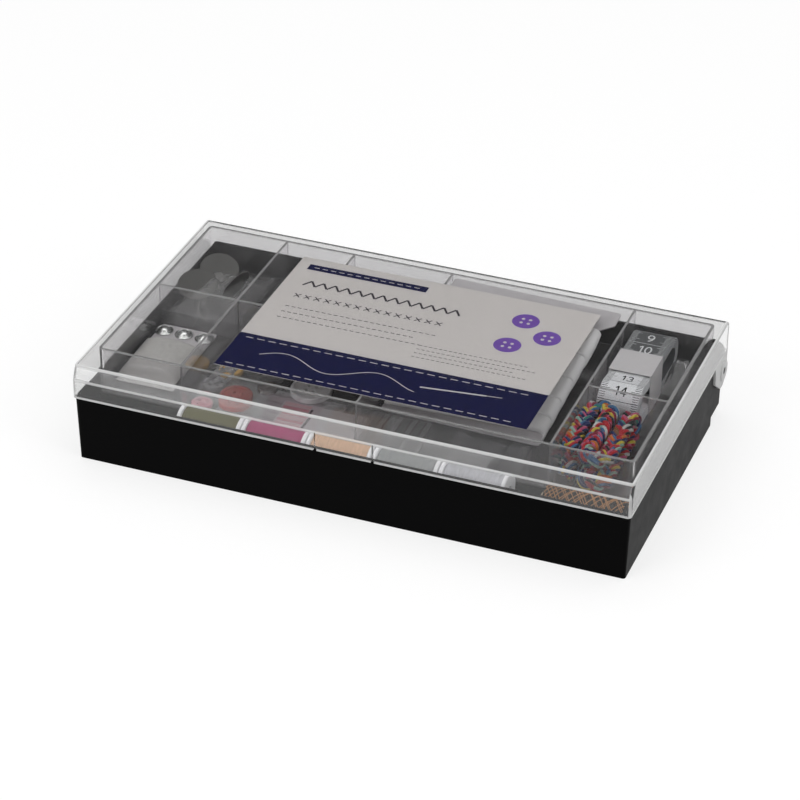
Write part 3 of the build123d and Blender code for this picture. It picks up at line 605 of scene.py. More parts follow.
# Stitch samples and buttons on the pale ground
flat_polygon(label, rectangle(-68, 47.5, -8, 52.5), NAVY)
dashes(-65, -11, 50, TITLE_STITCH, PALE, PRINT_OVER)
for button_x, button_y in ((44, 40), (58, 29), (43, 17)):
    printed_button(button_x, button_y, 6.4)
flat_path([(-64 + k * 3.0, 33 + 4.6 * (k % 2)) for k in range(27)], 1.05, GREY)
cross_y = 21.5
for k in range(15):
    x = -64 + k * 5.0
    flat_line((x, cross_y), (x + 3.0, cross_y + 3.0), 0.6, GREY)
    flat_line((x, cross_y + 3.0), (x + 3.0, cross_y), 0.6, GREY, CROSSING_Z)
for row, length in enumerate((74, 66, 71)):
    dashes(-64, -64 + length, 12.5 - row * 5.2, LONG_STITCH, GREY)
for row, length in enumerate((52, 58, 48, 55)):
    dashes(6, 6 + length, 2.0 - row * 3.4, SHORT_STITCH, GREY)
label_looks = [PALE_PRINT, NAVY_INK, PURPLE_INK, GREY_INK, PALE_INK]
label_piece = label.piece("label_print", label_looks, "label", COVER, smooth=False)
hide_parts("label_card")


# Thread wound on the spools, one ridge to a turn

SPOOL_START = -82.5
SPOOL_PITCH = 31.1
SPOOL_LENGTH = 30.7
SPOOL_Y = -62.95
SPOOL_Z = 23.8
FLANGE_WIDTH = 2.0
THREAD_RADIUS = 8.2
THREAD_GAP = 0.06
THREAD_SINK = 0.15
THREAD_TURN = 0.5
RINGS_PER_TURN = 4
RING_STEPS = 40


def on_spool(along, radius, angle):
    """A point on a roll that lies in the thread channel."""
    return (along, *polar(SPOOL_Y, SPOOL_Z, radius, angle))


def wound_thread(name, colour, start_x):
    first = start_x + FLANGE_WIDTH + THREAD_GAP
    length = SPOOL_LENGTH - 2.0 * FLANGE_WIDTH - 2.0 * THREAD_GAP
    rings = int(length / THREAD_TURN * RINGS_PER_TURN)
    verts = []
    for i in range(rings + 1):
        along = length * i / rings
        swell = 0.12 * math.sin(math.pi * along / length) + 0.05 * math.sin(along * 1.7)
        for k in range(RING_STEPS):
            angle = math.tau * k / RING_STEPS
            ridge = 0.07 * math.cos(math.tau * along / THREAD_TURN - angle)
            radius = THREAD_RADIUS - THREAD_SINK + swell + ridge
            verts.append(on_spool(first + along, radius, angle))
    thread = Shape()
    thread.add(verts, grid_faces(rings + 1, RING_STEPS, close_columns=True))
    look = thread_material(f"thread_{name}", colour)
    piece = thread.piece(f"wound_{name}", [look], f"thread_{name}")
    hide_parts(f"thread_{name}")


for number, (colour_name, colour_value) in enumerate(THREAD_COLOURS.items()):
    wound_thread(colour_name, colour_value, SPOOL_START + number * SPOOL_PITCH)


# Cross-wound bronze thread: strands wound both ways over a near-black core, painted shade for the
# gaps between them

REEL_START = 89.0
REEL_LENGTH = 37.0
REEL_RADIUS = 9.3
REEL_BORE = 4.1
REEL_BEVEL = 1.6
REEL_INSET = 0.3
REEL_CORE = REEL_RADIUS - 0.8
STRANDS = 19
STRAND_RADIUS = 0.2
STRAND_SIDES = 5
STRAND_STEPS = 60
STRAND_END = 0.7
STRAND_SINK = 0.42

reel = Shape()
reel_far = REEL_LENGTH - REEL_INSET
profile = [
    (REEL_BORE, REEL_INSET),
    (REEL_RADIUS - REEL_BEVEL, REEL_INSET),
    (REEL_CORE, REEL_BEVEL),
    (REEL_CORE, REEL_LENGTH - REEL_BEVEL),
    (REEL_RADIUS - REEL_BEVEL, reel_far),
    (REEL_BORE, reel_far),
]
# The core takes slot 1, the painted shade
reel.add(*revolved(profile, (REEL_START, SPOOL_Y, SPOOL_Z), "X", 48), 1)
for way in (-1, 1):
    for strand in range(STRANDS):
        half_turns = way * (1.75 + 0.12 * math.sin(2.4 * strand))
        route = []
        for k in range(STRAND_STEPS + 1):
            t = k / STRAND_STEPS
            along = STRAND_END + (REEL_LENGTH - 2.0 * STRAND_END) * t
            angle = math.tau * strand / STRANDS + half_turns * math.pi * t
            edge = min(along, REEL_LENGTH - along)
            radius = REEL_RADIUS - STRAND_SINK - 1.3 * math.exp(-edge / 0.9) + 0.14 * way
            route.append(on_spool(REEL_START + along, radius, angle))
        reel.add(*tube(route, STRAND_RADIUS, STRAND_SIDES))
reel_piece = reel.piece("wound_reel", [BRONZE, BRONZE_PAINTED_SHADE], "thread_bronze")
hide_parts("reel_thread")


# Elastic wound round its card: crowned turns that lie on one another like shingles

TRAY_FLOOR_TOP = 24.3
CARD_CENTRE = Vector((38.5, 20.0, 0.0))
CARD_TILT = math.radians(9.2)
CARD_YAW = math.radians(2.0)
ELASTIC_OUTER = 4.2
ELASTIC_INNER = 0.75
ELASTIC_BEND = 34.5
ELASTIC_SLANT = 4.0
ELASTIC_LIFT = 0.06
WINDING_FRONT = -44.0
STRAIGHT_STEPS = 14
BEND_STEPS = 9
# Front edge and width of each turn, and the shares of its width where it has points
ELASTIC_LOOPS = ((-43.6, 9.4), (-33.9, 12.2), (-21.4, 14.6), (-6.5, 16.6), (10.4, 19.6))
ELASTIC_ACROSS = (0.0, 0.02, 0.06, 0.16, 0.5, 0.84, 0.94, 0.98, 1.0)

tilt_cosine = math.cos(CARD_TILT)
card_rise = -WINDING_FRONT * math.sin(CARD_TILT) + ELASTIC_OUTER / tilt_cosine + 0.3
card_u = Vector((math.cos(CARD_YAW), -math.sin(CARD_YAW), 0.0))
card_v = Vector(
    (math.sin(CARD_YAW) * tilt_cosine, math.cos(CARD_YAW) * tilt_cosine, math.sin(CARD_TILT))
)
card_w = card_u.cross(card_v).normalized()
card_origin = CARD_CENTRE + Vector((0.0, 0.0, TRAY_FLOOR_TOP + card_rise))


def on_card(u, v, w):
    return card_origin + card_u * u + card_v * v + card_w * w


def elastic_section():
    """Points of (place along the card, share up, share out) round a turn's line."""
    half = []
    for k in range(STRAIGHT_STEPS):
        half.append((-ELASTIC_BEND + 2.0 * ELASTIC_BEND * k / (STRAIGHT_STEPS - 1), 1.0, 0.0))
    for k in range(1, BEND_STEPS):
        half.append((ELASTIC_BEND, *polar(0.0, 0.0, 1.0, math.pi * k / BEND_STEPS)))
    return half + [(-u, -up_share, -out_share) for u, up_share, out_share in half]


def elastic_loop(front_v, width, phase):
    """One turn of elastic: over the card, round an edge, under it and back up."""
    around = elastic_section()
    across = len(ELASTIC_ACROSS)
    count = len(around)
    full = ELASTIC_OUTER - ELASTIC_INNER - 0.35
    verts = []
    for outer in (True, False):
        for u, up_share, out_share in around:
            shift = ELASTIC_SLANT * u / (2.0 * ELASTIC_BEND) * (1.0 if up_share > 0 else -1.0)
            for s in ELASTIC_ACROSS:
                crown = math.sin(math.pi * s) ** 0.18
                lift = 0.94 + ELASTIC_LIFT * (1.0 - s)
                height = ELASTIC_INNER + full * (0.72 + 0.28 * crown) * lift
                ripple = 0.1 * math.sin(u * 0.55 + phase) * crown
                height = height + ripple if outer else ELASTIC_INNER
                v = front_v + shift + width * s
                verts.append(on_card(u + out_share * height, v, up_share * height))
    inner = count * across
    outside = grid_faces(count, across, close_rows=True)
    faces = [face[::-1] for face in outside]
    faces += [tuple(inner + index for index in face) for face in outside]
    for k in range(count):
        here, beside = k * across, (k + 1) % count * across
        for j in (0, across - 1):
            ring = (here + j, beside + j, inner + beside + j, inner + here + j)
            faces.append(ring if j else ring[::-1])
    return verts, faces


elastic = Shape()
for number, (loop_front, loop_width) in enumerate(ELASTIC_LOOPS):
    elastic.add(*elastic_loop(loop_front, loop_width, number * 1.9))
elastic_piece = elastic.piece("elastic_turns", [ELASTIC], "elastic")
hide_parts("elastic_winding")


# Tape measure: a flattened spiral with printed graduations on its outer turn

TAPE_X = 100.6
TAPE_WIDTH = 19.0
TAPE_THICK = 0.42
TAPE_PITCH = 1.0
TAPE_TURNS = 5
TAPE_OUTER = 9.7
TAPE_LENGTH = 64.0
TAPE_FRONT = 0.6
TAPE_MARGIN = 0.25
BEND_ARC = 16
STRAIGHT_PARTS = 8
BAND_MIDDLE = 28.0
# Material indices of the tape
WHITE_SIDE, DARK_SIDE, BLACK_MARK, PALE_MARK = range(4)

tape_half = TAPE_WIDTH / 2.0
tape_low = TRAY_FLOOR_TOP + 0.45
tape_rear_radius = TAPE_OUTER - TAPE_PITCH
tape_front_radius = TAPE_OUTER - TAPE_PITCH / 2.0
tape_z = tape_low + tape_rear_radius + TAPE_MARGIN
tape_rear_centre = TAPE_FRONT + TAPE_LENGTH - tape_rear_radius - TAPE_MARGIN
tape_front_centre = TAPE_FRONT + tape_front_radius + TAPE_MARGIN
tape_start = TAPE_OUTER - TAPE_TURNS * TAPE_PITCH


def tape_line():
    """The spiral's centre line as points of (y, z), from the inside out."""
    points = []
    rear, front = tape_rear_centre, tape_front_centre
    parts = [k / STRAIGHT_PARTS for k in range(1, STRAIGHT_PARTS)]
    for winding in range(TAPE_TURNS):
        small = tape_start + winding * TAPE_PITCH
        large = small + TAPE_PITCH / 2.0
        for k in range(BEND_ARC + 1):
            angle = math.pi / 2.0 - math.pi * k / BEND_ARC
            points.append(polar(rear, tape_z, small, angle))
        points += [(rear + (front - rear) * t, tape_z - small) for t in parts]
        for k in range(BEND_ARC + 1):
            angle = -math.pi / 2.0 - math.pi * k / BEND_ARC
            points.append(polar(front, tape_z - small + large, large, angle))
        for t in parts:
            points.append((front + (rear - front) * t, tape_z + small + TAPE_PITCH * t))
    points.append((rear, tape_z + TAPE_OUTER))
    return points


def line_lengths(points):
    lengths = [0.0]
    for first, second in zip(points, points[1:]):
        lengths.append(lengths[-1] + math.dist(first, second))
    return lengths


tape_points = tape_line()
tape_lengths = line_lengths(tape_points)


def tape_at(along):
    """The point and the outward normal of the tape's line at a length from its inner end."""
    along = max(0.0, min(tape_lengths[-1] - 0.001, along))
    for k in range(len(tape_points) - 1):
        if tape_lengths[k + 1] >= along:
            break
    piece_length = max(1e-6, tape_lengths[k + 1] - tape_lengths[k])
    t = (along - tape_lengths[k]) / piece_length
    first, second = Vector(tape_points[k]), Vector(tape_points[k + 1])
    direction = (second - first).normalized()
    return first + (second - first) * t, Vector((-direction.y, direction.x))


tape = Shape()
for k, point in enumerate(tape_points):
    _, normal = tape_at(min(tape_lengths[k] + 0.01, tape_lengths[-1] - 0.01))
    for side_x, side_n in ((-1, 1), (1, 1), (1, -1), (-1, -1)):
        y, z = Vector(point) + normal * side_n * TAPE_THICK / 2.0
        tape.verts.append((TAPE_X + side_x * tape_half, y, z))
for number, face in enumerate(grid_faces(len(tape_points), 4, close_columns=True)):
    middle_y = sum(tape.verts[index][1] for index in face) / 4.0
    edge_face = number % 2 == 1
    tape.faces.append(face)
    tape.slots.append(WHITE_SIDE if edge_face or middle_y < BAND_MIDDLE else DARK_SIDE)
last = len(tape.verts) - 4
tape.faces += [(3, 2, 1, 0), (last, last + 1, last + 2, last + 3)]
tape.slots += [DARK_SIDE, DARK_SIDE]


def on_tape(along, across, lift=0.03):
    point, normal = tape_at(along)
    y, z = point + normal * (TAPE_THICK / 2.0 + lift)
    return (TAPE_X + across, y, z)


def tape_mark(along, length, across0, across1, slot):
    """A printed bar on the tape's outer face, split along it so that it follows the bend."""
    steps = max(1, int(length / 0.8))
    verts = []
    for k in range(steps + 1):
        s = along + length * k / steps
        verts += [on_tape(s, across0), on_tape(s, across1)]
    tape.add(verts, strip_faces(steps), slot)


MARK_INSET = 0.2
SHORT_TICK = 3.1
LONG_TICK = 4.6
TICK_LIFT = 0.05


def tape_ticks(along, length, reach, slot):
    """A pair of graduation lines that reach in from both edges of the tape."""
    tape_mark(along, length, -tape_half + MARK_INSET, -tape_half + reach, slot)
    tape_mark(along, length, tape_half - reach, tape_half - MARK_INSET, slot)


def tape_cross_line(along, length, slot):
    tape_mark(along, length, -tape_half + MARK_INSET, tape_half - MARK_INSET, slot)


def oval(x, y, radius_x, radius_y, first, last):
    """Points of a part of an oval between two angles in degrees."""
    steps = 16
    angles = [math.radians(first + (last - first) * k / steps) for k in range(steps + 1)]
    return [(x + radius_x * math.cos(a), y + radius_y * math.sin(a)) for a in angles]


# Lines of the digits in a box one unit high
DIGIT_LINES = {
    "0": [oval(0.3, 0.5, 0.26, 0.5, 0, 360)],
    "1": [[(0.12, 0.76), (0.36, 1.0)], [(0.36, 1.0), (0.36, 0.0)]],
    "3": [oval(0.28, 0.75, 0.25, 0.25, 150, -90), oval(0.28, 0.25, 0.28, 0.25, 90, -150)],
    "4": [[(0.45, 0.0), (0.45, 1.0)], [(0.45, 1.0), (0.0, 0.3)], [(0.0, 0.3), (0.62, 0.3)]],
    "9": [oval(0.3, 0.71, 0.26, 0.29, 0, 360), oval(0.0, 0.71, 0.56, 0.71, 0, -75)],
}
DIGIT_PITCH = 0.66
DIGIT_STROKE = 0.07


def tape_number(text, along, height, slot):
    """A number that reads from the front, in strokes that follow the bend of the tape."""
    stroke = DIGIT_STROKE * height
    for index, digit in enumerate(text):
        left = (index - len(text) / 2.0) * DIGIT_PITCH * height + 0.03 * height
        for line in DIGIT_LINES[digit]:
            corners = [Vector(corner) * height for corner in line]
            fine = []
            for first, second in zip(corners, corners[1:]):
                count = max(1, int((second - first).length / 0.4))
                fine += [first.lerp(second, k / count) for k in range(count)]
            fine.append(corners[-1])
            verts = []
            for k, middle in enumerate(fine):
                way = (fine[min(k + 1, len(fine) - 1)] - fine[max(k - 1, 0)]).normalized()
                side = Vector((-way.y, way.x)) * stroke
                for p in (middle + side, middle - side):
                    verts.append(on_tape(along + p.y - height / 2.0, left + p.x, TICK_LIFT))
            tape.add(verts, strip_faces(len(fine) - 1), slot)


OUTERMOST_TURN = 150.0


def along_of(y):
    """The length at which the outermost turn passes a given y on its top."""
    turn_start = tape_lengths[-1] - OUTERMOST_TURN
    passes = [
        (abs(point[0] - y), length + (y - point[0]))
        for point, length in zip(tape_points[::-1], tape_lengths[::-1])
        if length >= turn_start and point[1] > tape_z
    ]
    return min(passes, key=lambda one: one[0])[1]


CM = 10.0
front_top = along_of(tape_front_centre)
for k in range(-3, 2):
    centre = front_top + 5.3 + k * CM
    tape_cross_line(centre - CM / 2.0 - 0.15, 0.3, BLACK_MARK)
    for tick in range(10):
        tick_reach = LONG_TICK if tick == 5 else SHORT_TICK
        tape_ticks(centre - CM / 2.0 + tick, 0.3, tick_reach, BLACK_MARK)
for text, offset in (("13", 5.0), ("14", -4.9)):
    tape_number(text, front_top + offset, 4.5, BLACK_MARK)
dark_start = along_of(39.5)
for tick in range(20):
    tape_ticks(dark_start + tick, 0.22, SHORT_TICK if tick % 5 else LONG_TICK, PALE_MARK)
for text, number_y in (("10", 41.4), ("9", 51.4)):
    tape_cross_line(along_of(number_y) + CM / 2.0, 0.24, PALE_MARK)
    tape_number(text, along_of(number_y), 5.2, PALE_MARK)
tape_looks = [TAPE_WHITE, TAPE_DARK, TAPE_BLACK_INK, TAPE_PALE_INK]
tape_piece = tape.piece("tape_coil", tape_looks, "tape", smooth=False)
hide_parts("tape_measure")


# Plaited threads of many colours, folded to and fro along the hank's route

BRAID_RADIUS = 4.2
BRAID_PITCH = 9.0
BRAID_LAYER = 10.2
BRAID_FIRST_X = 92.0
BRAID_FRONT = -42.6
BRAID_REAR = -10.9
RUN_POINTS = 20
BEND_POINTS = 8


def braid_line():
    """Points of the folded route."""
    low_z = TRAY_FLOOR_TOP + 0.3 + BRAID_RADIUS
    columns = [BRAID_FIRST_X + k * BRAID_PITCH for k in range(3)]
    runs = [(x, low_z) for x in columns] + [(x, low_z + BRAID_LAYER) for x in reversed(columns)]
    points = []
    for index, (x, z) in enumerate(runs):
        outward = -1.0 if index % 2 else 1.0
        start, end = (BRAID_REAR, BRAID_FRONT) if index % 2 else (BRAID_FRONT, BRAID_REAR)
        for k in range(RUN_POINTS):
            points.append(Vector((x, start + (end - start) * k / RUN_POINTS, z)))
        if index + 1 < len(runs):
            next_x, next_z = runs[index + 1]
            middle = Vector(((x + next_x) / 2.0, end, (z + next_z) / 2.0))
            radius = math.hypot(next_x - x, next_z - z) / 2.0
            start_arm = Vector((x, end, z)) - middle
            for k in range(BEND_POINTS):
                angle = math.pi * k / BEND_POINTS
                bulge = Vector((0.0, outward * radius * math.sin(angle), 0.0))
                points.append(middle + start_arm * math.cos(angle) + bulge)
    return points + [Vector((x, end, z))]


def resample(points, step):
    """Evenly spaced points on a line."""
    lengths = line_lengths([tuple(p) for p in points])
    count = int(lengths[-1] / step)
    result = []
    k = 0
    for i in range(count + 1):
        target = lengths[-1] * i / count
        while k < len(points) - 2 and lengths[k + 1] < target:
            k += 1
        t = (target - lengths[k]) / max(1e-6, lengths[k + 1] - lengths[k])
        result.append(points[k].lerp(points[k + 1], t))
    return result


BRAID_SHADE = 0.62
BRAID_STEP = 0.55
PLAIT_PERIOD = 13.0
PLAIT_WIDE = 2.45
PLAIT_HIGH = 1.2
PLAIT_STRANDS = 3
YARNS = 7
YARN_RADIUS = 0.74
YARN_SIDES = 5
YARN_REACH = 1.15
YARN_PERIOD = 26.0
YARN_WOBBLE = 0.16
STITCH_RINGS = 10
# Each stitch takes one of these, so that a colour named more often is seen more often
STITCH_COLOURS = """
    red red red white crimson crimson navy navy black blue blue teal mint
    yellow yellow orange pink pink brown
"""

random.seed(7)
braid_names = list(BRAID_COLOURS)
stitch_choices = [braid_names.index(name) for name in STITCH_COLOURS.split()]
braid_frames = path_frames(resample(braid_line(), BRAID_STEP))
braid = Shape()
for strand in range(PLAIT_STRANDS):
    phase = math.tau * strand / PLAIT_STRANDS
    strand_points = []
    for k, (point, _, side, over) in enumerate(braid_frames):
        angle = math.tau * k * BRAID_STEP / PLAIT_PERIOD + phase
        across = side * PLAIT_WIDE * math.sin(angle)
        strand_points.append(point + (across + over * PLAIT_HIGH * math.sin(2.0 * angle)))
    strand_frames = path_frames(strand_points)
    for yarn in range(YARNS):
        reach_out = 0.0 if yarn == YARNS - 1 else YARN_REACH
        route = []
        for k, (point, _, side, over) in enumerate(strand_frames):
            angle = math.tau * (yarn / (YARNS - 1) + k * BRAID_STEP / YARN_PERIOD)
            wobble = YARN_WOBBLE * rough(k * 0.09, strand * 7.0 + yarn, 0.0)
            arm = side * math.cos(angle) + over * math.sin(angle)
            route.append(point + arm * (reach_out + wobble))
        yarn_verts, yarn_faces = tube(route, YARN_RADIUS, YARN_SIDES)
        stitch_count = len(route) // STITCH_RINGS + 2
        stitches = [random.choice(stitch_choices) for _ in range(stitch_count)]
        start = len(braid.slots)
        braid.add(yarn_verts, yarn_faces)
        for index in range(len(yarn_faces)):
            stitch = (index // YARN_SIDES + 3 * yarn) // STITCH_RINGS
            braid.slots[start + index] = stitches[stitch % stitch_count]
braid_looks = []
for name, colour in BRAID_COLOURS.items():
    braid_looks.append(thread_material(f"braid_{name}", shade(colour, BRAID_SHADE)))
braid_piece = braid.piece("plaited_hank", braid_looks, "braid_thread")
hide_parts("thread_braid")


# Drying sachet: a cushion of beads with flat sealed ends

SACHET_CENTRE = (-111.5, -23.2)
SACHET_SIZE = (28.6, 34.0)
SACHET_LOW = 25.3
SACHET_THICK = 6.0
SACHET_YAW = math.radians(1.0)
SACHET_CELLS = 44


def sachet_point(s, t, layer):
    """A point of the bag's upper (1) or lower (0) side at shares s and t from -1 to 1."""
    seal = max(0.0, min(1.0, (1.0 - abs(t)) / 0.14 - 0.75))
    fullness = (1.0 - abs(s) ** 3.2) ** 0.75 * seal ** 0.55
    bead = 0.34 * rough(s * 7.5, t * 8.0, layer * 9.0) * fullness
    crease = 0.12 * rough(s * 2.0, t * 13.0, 3.0 + layer)
    draw_in = 1.0 - 0.035 * fullness
    x = s * SACHET_SIZE[0] / 2.0 * draw_in
    y = t * SACHET_SIZE[1] / 2.0 + 0.5 * rough(s * 1.7, t, 5.0)
    middle = SACHET_LOW + 0.5 + 0.35 * SACHET_THICK * fullness
    half = 0.09 + (SACHET_THICK / 2.0 - 0.35) * fullness + bead
    z = middle + half + crease if layer else max(SACHET_LOW + 0.02, middle - half + crease)
    if abs(s) == 1.0:
        z = middle + (0.05 if layer else -0.05)
    turned_x = x * math.cos(SACHET_YAW) - y * math.sin(SACHET_YAW)
    turned_y = x * math.sin(SACHET_YAW) + y * math.cos(SACHET_YAW)
    return (SACHET_CENTRE[0] + turned_x, SACHET_CENTRE[1] + turned_y, z)


sachet = Shape()
sachet_shares = [2.0 * i / SACHET_CELLS - 1.0 for i in range(SACHET_CELLS + 1)]
side_count = SACHET_CELLS + 1
for layer in (1, 0):
    verts = [sachet_point(s, t, layer) for s in sachet_shares for t in sachet_shares]
    faces = grid_faces(side_count, side_count)
    sachet.add(verts, faces if layer else [face[::-1] for face in faces])
under = side_count * side_count
rim = [i * side_count for i in range(side_count)]
rim += [SACHET_CELLS * side_count + j for j in range(1, side_count)]
rim += [i * side_count + SACHET_CELLS for i in range(SACHET_CELLS - 1, -1, -1)]
rim += list(range(SACHET_CELLS - 1, 0, -1))
for first, second in zip(rim, rim[1:] + rim[:1]):
    sachet.faces.append((first, second, under + second, under + first))
    sachet.slots.append(0)
sachet_piece = sachet.piece("sachet_bag", [SACHET_PAPER], "sachet_paper")
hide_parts("desiccant_sachet")


# Snap fasteners: a rolled rim with a groove and a dome, and four holes drawn as black discs of
# painted shade

SNAP_TOP = TRAY_FLOOR_TOP + 0.6
SNAP_Y = 3.2
SNAP_PLACES = (-122.2, -112.0, -101.8)
SNAP_HOLES_OUT = 3.55
DOME_RADIUS = 2.6
DOME_BASE = 1.15
DOME_RISE = 1.3

snap_profile = [
    (0.01, 0.05), (4.2, 0.05), (4.45, 0.25), (4.45, 0.6), (4.25, 0.85), (3.95, 0.8),
    (3.75, 0.45), (3.3, 0.4), (3.1, 0.75), (2.85, 1.0), (DOME_RADIUS, DOME_BASE),
]
for angle in (0.25, 0.55, 0.85, 1.15, 1.4, 1.565):
    dome_point = (DOME_RADIUS * math.cos(angle), DOME_BASE + DOME_RISE * math.sin(angle))
    snap_profile.append(dome_point)
# The holes are black discs (slot 1): painted shade where the holes are
hole_shade_profile = [(0.01, 0.5), (0.42, 0.5), (0.46, 0.43)]
snaps = Shape()
for snap_x in SNAP_PLACES:
    snaps.add(*revolved(snap_profile, (snap_x, SNAP_Y, SNAP_TOP), "Z", 36))
    for k in range(4):
        angle = math.pi / 4.0 + k * math.pi / 2.0
        hole = (*polar(snap_x, SNAP_Y, SNAP_HOLES_OUT, angle), SNAP_TOP)
        snaps.add(*revolved(hole_shade_profile, hole, "Z", 12), 1)
snap_piece = snaps.piece("snap_domes", [SNAP_METAL, BLACK], "snap_metal")
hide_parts("snap_fasteners")


# Needle threaders: wire loops under their plates, from a plate's centre to the wire's tip

THREADERS = [
    ((-117.0, 30.0, 37.1), (-107.5, 18.4, 24.4)),
    ((-112.5, 46.0, 38.1), (-110.7, 34.3, 24.4)),
    ((-100.5, 38.0, 35.7), (-104.7, 39.2, 24.4)),
]
PLATE_REACH = 7.5
WIRE_RADIUS = 0.17
WIRE_SIDES = 6
WIRE_HALF_WIDTH = 2.6
WIRE_HALF_SHOULDER = 2.4

wires = Shape()
for centre, tip in THREADERS:
    along = (Vector(centre) - Vector(tip)).normalized()
    across = along.cross(Vector((0.0, 0.0, 1.0))).normalized()
    lift = across.cross(along) * 0.25
    neck = Vector(centre) - along * (PLATE_REACH - 1.2) + lift
    wide = (Vector(centre) - along * PLATE_REACH + Vector(tip)) / 2.0 + lift
    end = Vector(tip) + along * 0.4 + lift
    arms = []
    for way in (1.0, -1.0):
        shoulder = wide + across * WIRE_HALF_SHOULDER * way
        widest = wide + across * WIRE_HALF_WIDTH * way
        arms.append([neck.lerp(shoulder, 0.55), widest, end.lerp(shoulder, 0.45)])
    loop = [neck, *arms[0], end, *reversed(arms[1]), neck]
    wires.add(*tube(loop, WIRE_RADIUS, WIRE_SIDES))
wire_piece = wires.piece("threader_loops", [WIRE_METAL], "wire_steel")
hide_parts("threader_wires")


# Needle card: a pale card with rows of pink at its left end

NEEDLE_ROWS = 6
NEEDLE_ROW_PITCH = 3.0
NEEDLE_ROW_DEPTH = 2.5
NEEDLE_ROW_FRONT = 1.2
NEEDLE_PRINT_LIFT = 0.02

card_corners = [[c / MM for c in corner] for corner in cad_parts["needle_card"].bound_box]
card_low = [min(corner[axis] for corner in card_corners) for axis in range(3)]
card_high = [max(corner[axis] for corner in card_corners) for axis in range(3)]
needle_card = Shape()
needle_outline = round_outline(*card_low[:2], *card_high[:2], 0.8)
needle_card.add(*slab(needle_outline, card_low[2] + NEEDLE_PRINT_LIFT, card_high[2]))
needle_top = card_high[2] + NEEDLE_PRINT_LIFT
row_left, row_right = card_low[0] + 0.8, card_low[0] + 13.5
for row in range(NEEDLE_ROWS):
    row_y = card_low[1] + NEEDLE_ROW_FRONT + row * NEEDLE_ROW_PITCH
    outline = rectangle(row_left, row_y, row_right, row_y + NEEDLE_ROW_DEPTH)
    flat_polygon(needle_card, outline, 1 + row % 2, needle_top)
stripe = rectangle(row_right + 0.4, card_low[1] + NEEDLE_ROW_FRONT, row_right + 1.6, row_y)
flat_polygon(needle_card, stripe, 3, needle_top)
needle_inks = [ink("needle_pink", (0.62, 0.26, 0.3)), ink("needle_pale", (0.68, 0.44, 0.46))]
needle_looks = [WHITE_CARD, *needle_inks, GREY_INK]
needle_piece = needle_card.piece("needle_card_print", needle_looks, "pink_card", smooth=False)
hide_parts("needle_card")


# Clear film: a bag round the threaders, and crumpled bits over the buttons, beside the tape
# and beside the hank

FILM_THICK = 0.06
FILM_WANDER = 1.3


def film(name, x0, y0, x1, y1, base_z, rise, seed, cells, ruffle):
    """A crumpled sheet of thin clear film."""
    verts = []
    for layer in (0, 1):
        for i in range(cells + 1):
            for j in range(cells + 1):
                s, t = i / cells, j / cells
                dome = math.sin(math.pi * s) * math.sin(math.pi * t)
                fold = rough(s * 3.1, t * 3.1, seed)
                crumple = rough(s * 9.0, t * 9.0, seed + 4.0)
                z = base_z + rise * dome + ruffle * (fold + 0.45 * crumple) * (0.35 + 0.65 * dome)
                wander = [rough(s * 2.0, t * 2.0, seed + k) for k in (9.0, 15.0)]
                x = x0 + (x1 - x0) * s + FILM_WANDER * wander[0]
                y = y0 + (y1 - y0) * t + FILM_WANDER * wander[1]
                verts.append((x, y, max(TRAY_FLOOR_TOP + 0.1, z) - FILM_THICK * layer))
    upper = grid_faces(cells + 1, cells + 1)
    lower = [tuple((cells + 1) ** 2 + index for index in face[::-1]) for face in upper]
    sheet = Shape()
    sheet.add(verts, upper + lower)
    sheet.piece(name, [FILM_CLEAR], "clear_tray")


film("threader_bag", -124.5, 13.5, -90.5, 60.0, 30.0, 9.0, 3.0, 26, 2.2)
film("button_bag", -84.0, -47.0, -51.0, 6.0, 28.5, 4.0, 11.0, 24, 2.6)
film("tape_film", 111.8, 27.0, 122.6, 57.0, 31.0, 9.0, 23.0, 20, 3.0)
film("braid_film", 118.0, -46.0, 123.0, -4.0, 26.0, 9.0, 31.0, 18, 1.6)


# Studio: white floor, white surroundings, soft lamps


def ray_kinds(tree):
    """One for a ray that looks directly or through clear plastic, and one for a mirrored ray."""
    path = add_node(tree, "LightPath", {})
    camera_ray, clear_ray = path.outputs["Is Camera Ray"], path.outputs["Is Transmission Ray"]
    return calculate(tree, "MAXIMUM", camera_ray, clear_ray), path.outputs["Is Glossy Ray"]


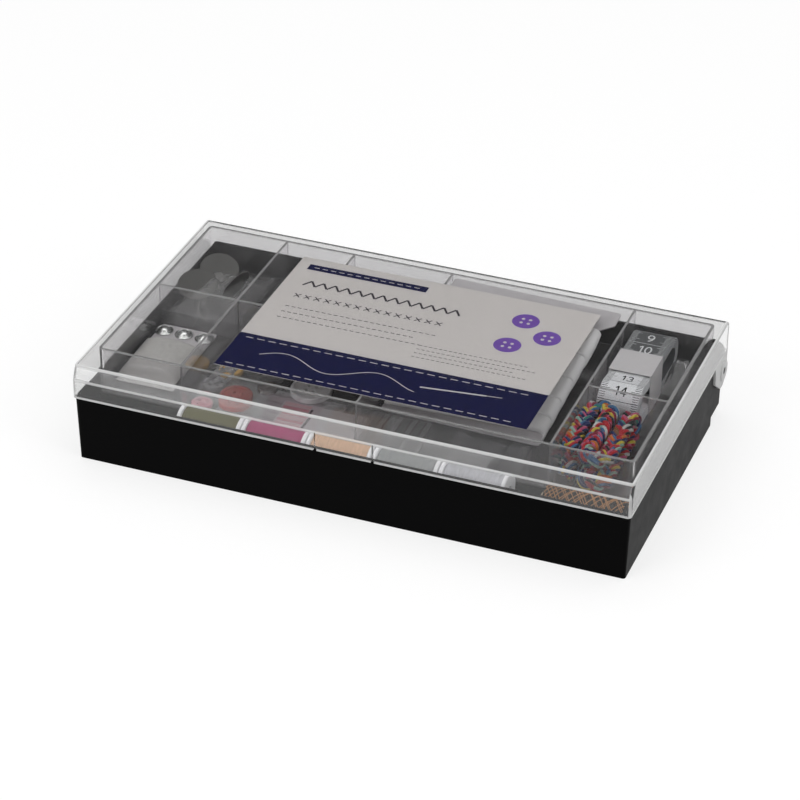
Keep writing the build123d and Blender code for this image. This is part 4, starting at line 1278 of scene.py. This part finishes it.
FLOOR_SIZE = 2.2
FLOOR_GLOW = 1.2
FLOOR_GLOW_SHARE = 0.6
floor_mesh = bpy.data.meshes.new("floor")
floor_outline = rectangle(-FLOOR_SIZE, -FLOOR_SIZE, FLOOR_SIZE, FLOOR_SIZE)
floor_mesh.from_pydata([(x, y, 0.0) for x, y in floor_outline], [], [(0, 1, 2, 3)])
floor = add_object("floor", floor_mesh)
floor_paint = principled("floor_paint", (0.8, 0.8, 0.8), 0.9, Specular_IOR_Level=0.0)
floor_tree = floor_paint.node_tree
floor_looked_at = calculate(floor_tree, "MAXIMUM", *ray_kinds(floor_tree))
floor_level = calculate(floor_tree, "MULTIPLY", floor_looked_at, FLOOR_GLOW)
glow = add_node(floor_tree, "Emission", {"Strength": floor_level}).outputs["Emission"]
paint = floor_tree.nodes["Principled BSDF"].outputs["BSDF"]
mix_surface(floor_tree, FLOOR_GLOW_SHARE, paint, glow)
floor_mesh.materials.append(floor_paint)

# Surroundings: white to look at, and in mirrored rays bright in front of the box and
# overhead but dim behind it, where its flat top mirrors them
world = bpy.data.worlds.new("studio")
world.use_nodes = True
bpy.context.scene.world = world
sky = world.node_tree
plain = sky.nodes["Background"]
plain.inputs["Color"].default_value = (1.0, 1.0, 1.0, 1.0)
plain.inputs["Strength"].default_value = 0.5
direction = add_node(sky, "TexCoord", {}).outputs["Generated"]
split = add_node(sky, "SeparateXYZ", {0: direction})
front_level = map_range(sky, split.outputs["Y"], -0.35, 0.35, 0.85, 0.012)
overhead_level = map_range(sky, split.outputs["Z"], 0.84, 0.93, 0.0, 1.2)
mirrored_level = calculate(sky, "ADD", front_level, overhead_level)
seen = add_node(sky, "Background", {"Strength": 1.1}).outputs["Background"]
mirrored = add_node(sky, "Background", {"Strength": mirrored_level}).outputs["Background"]
seen_ray, mirrored_ray = ray_kinds(sky)
unmirrored = add_node(sky, "MixShader", {"Fac": seen_ray, 1: plain.outputs["Background"], 2: seen})
mix_surface(sky, mirrored_ray, unmirrored.outputs["Shader"], mirrored, "World Output")


def soft_lamp(name, place, size, watts):
    """A square of light that shines on the box from a place in metres."""
    lamp = bpy.data.lights.new(name, "AREA")
    lamp.shape = "RECTANGLE"
    lamp.size, lamp.size_y = size
    lamp.energy = watts
    aim = Vector(place).to_track_quat("Z", "Y").to_matrix().to_4x4()
    add_object(name, lamp).matrix_world = Matrix.Translation(Vector(place)) @ aim


soft_lamp("overhead", (0.0, 0.25, 1.3), (1.6, 1.1), 4.8)
soft_lamp("front", (-0.75, -1.15, 0.85), (0.9, 0.8), 6.4)
soft_lamp("right", (1.25, -0.35, 0.8), (0.8, 0.8), 4.4)

bpy.context.scene.view_settings.view_transform = "Standard"
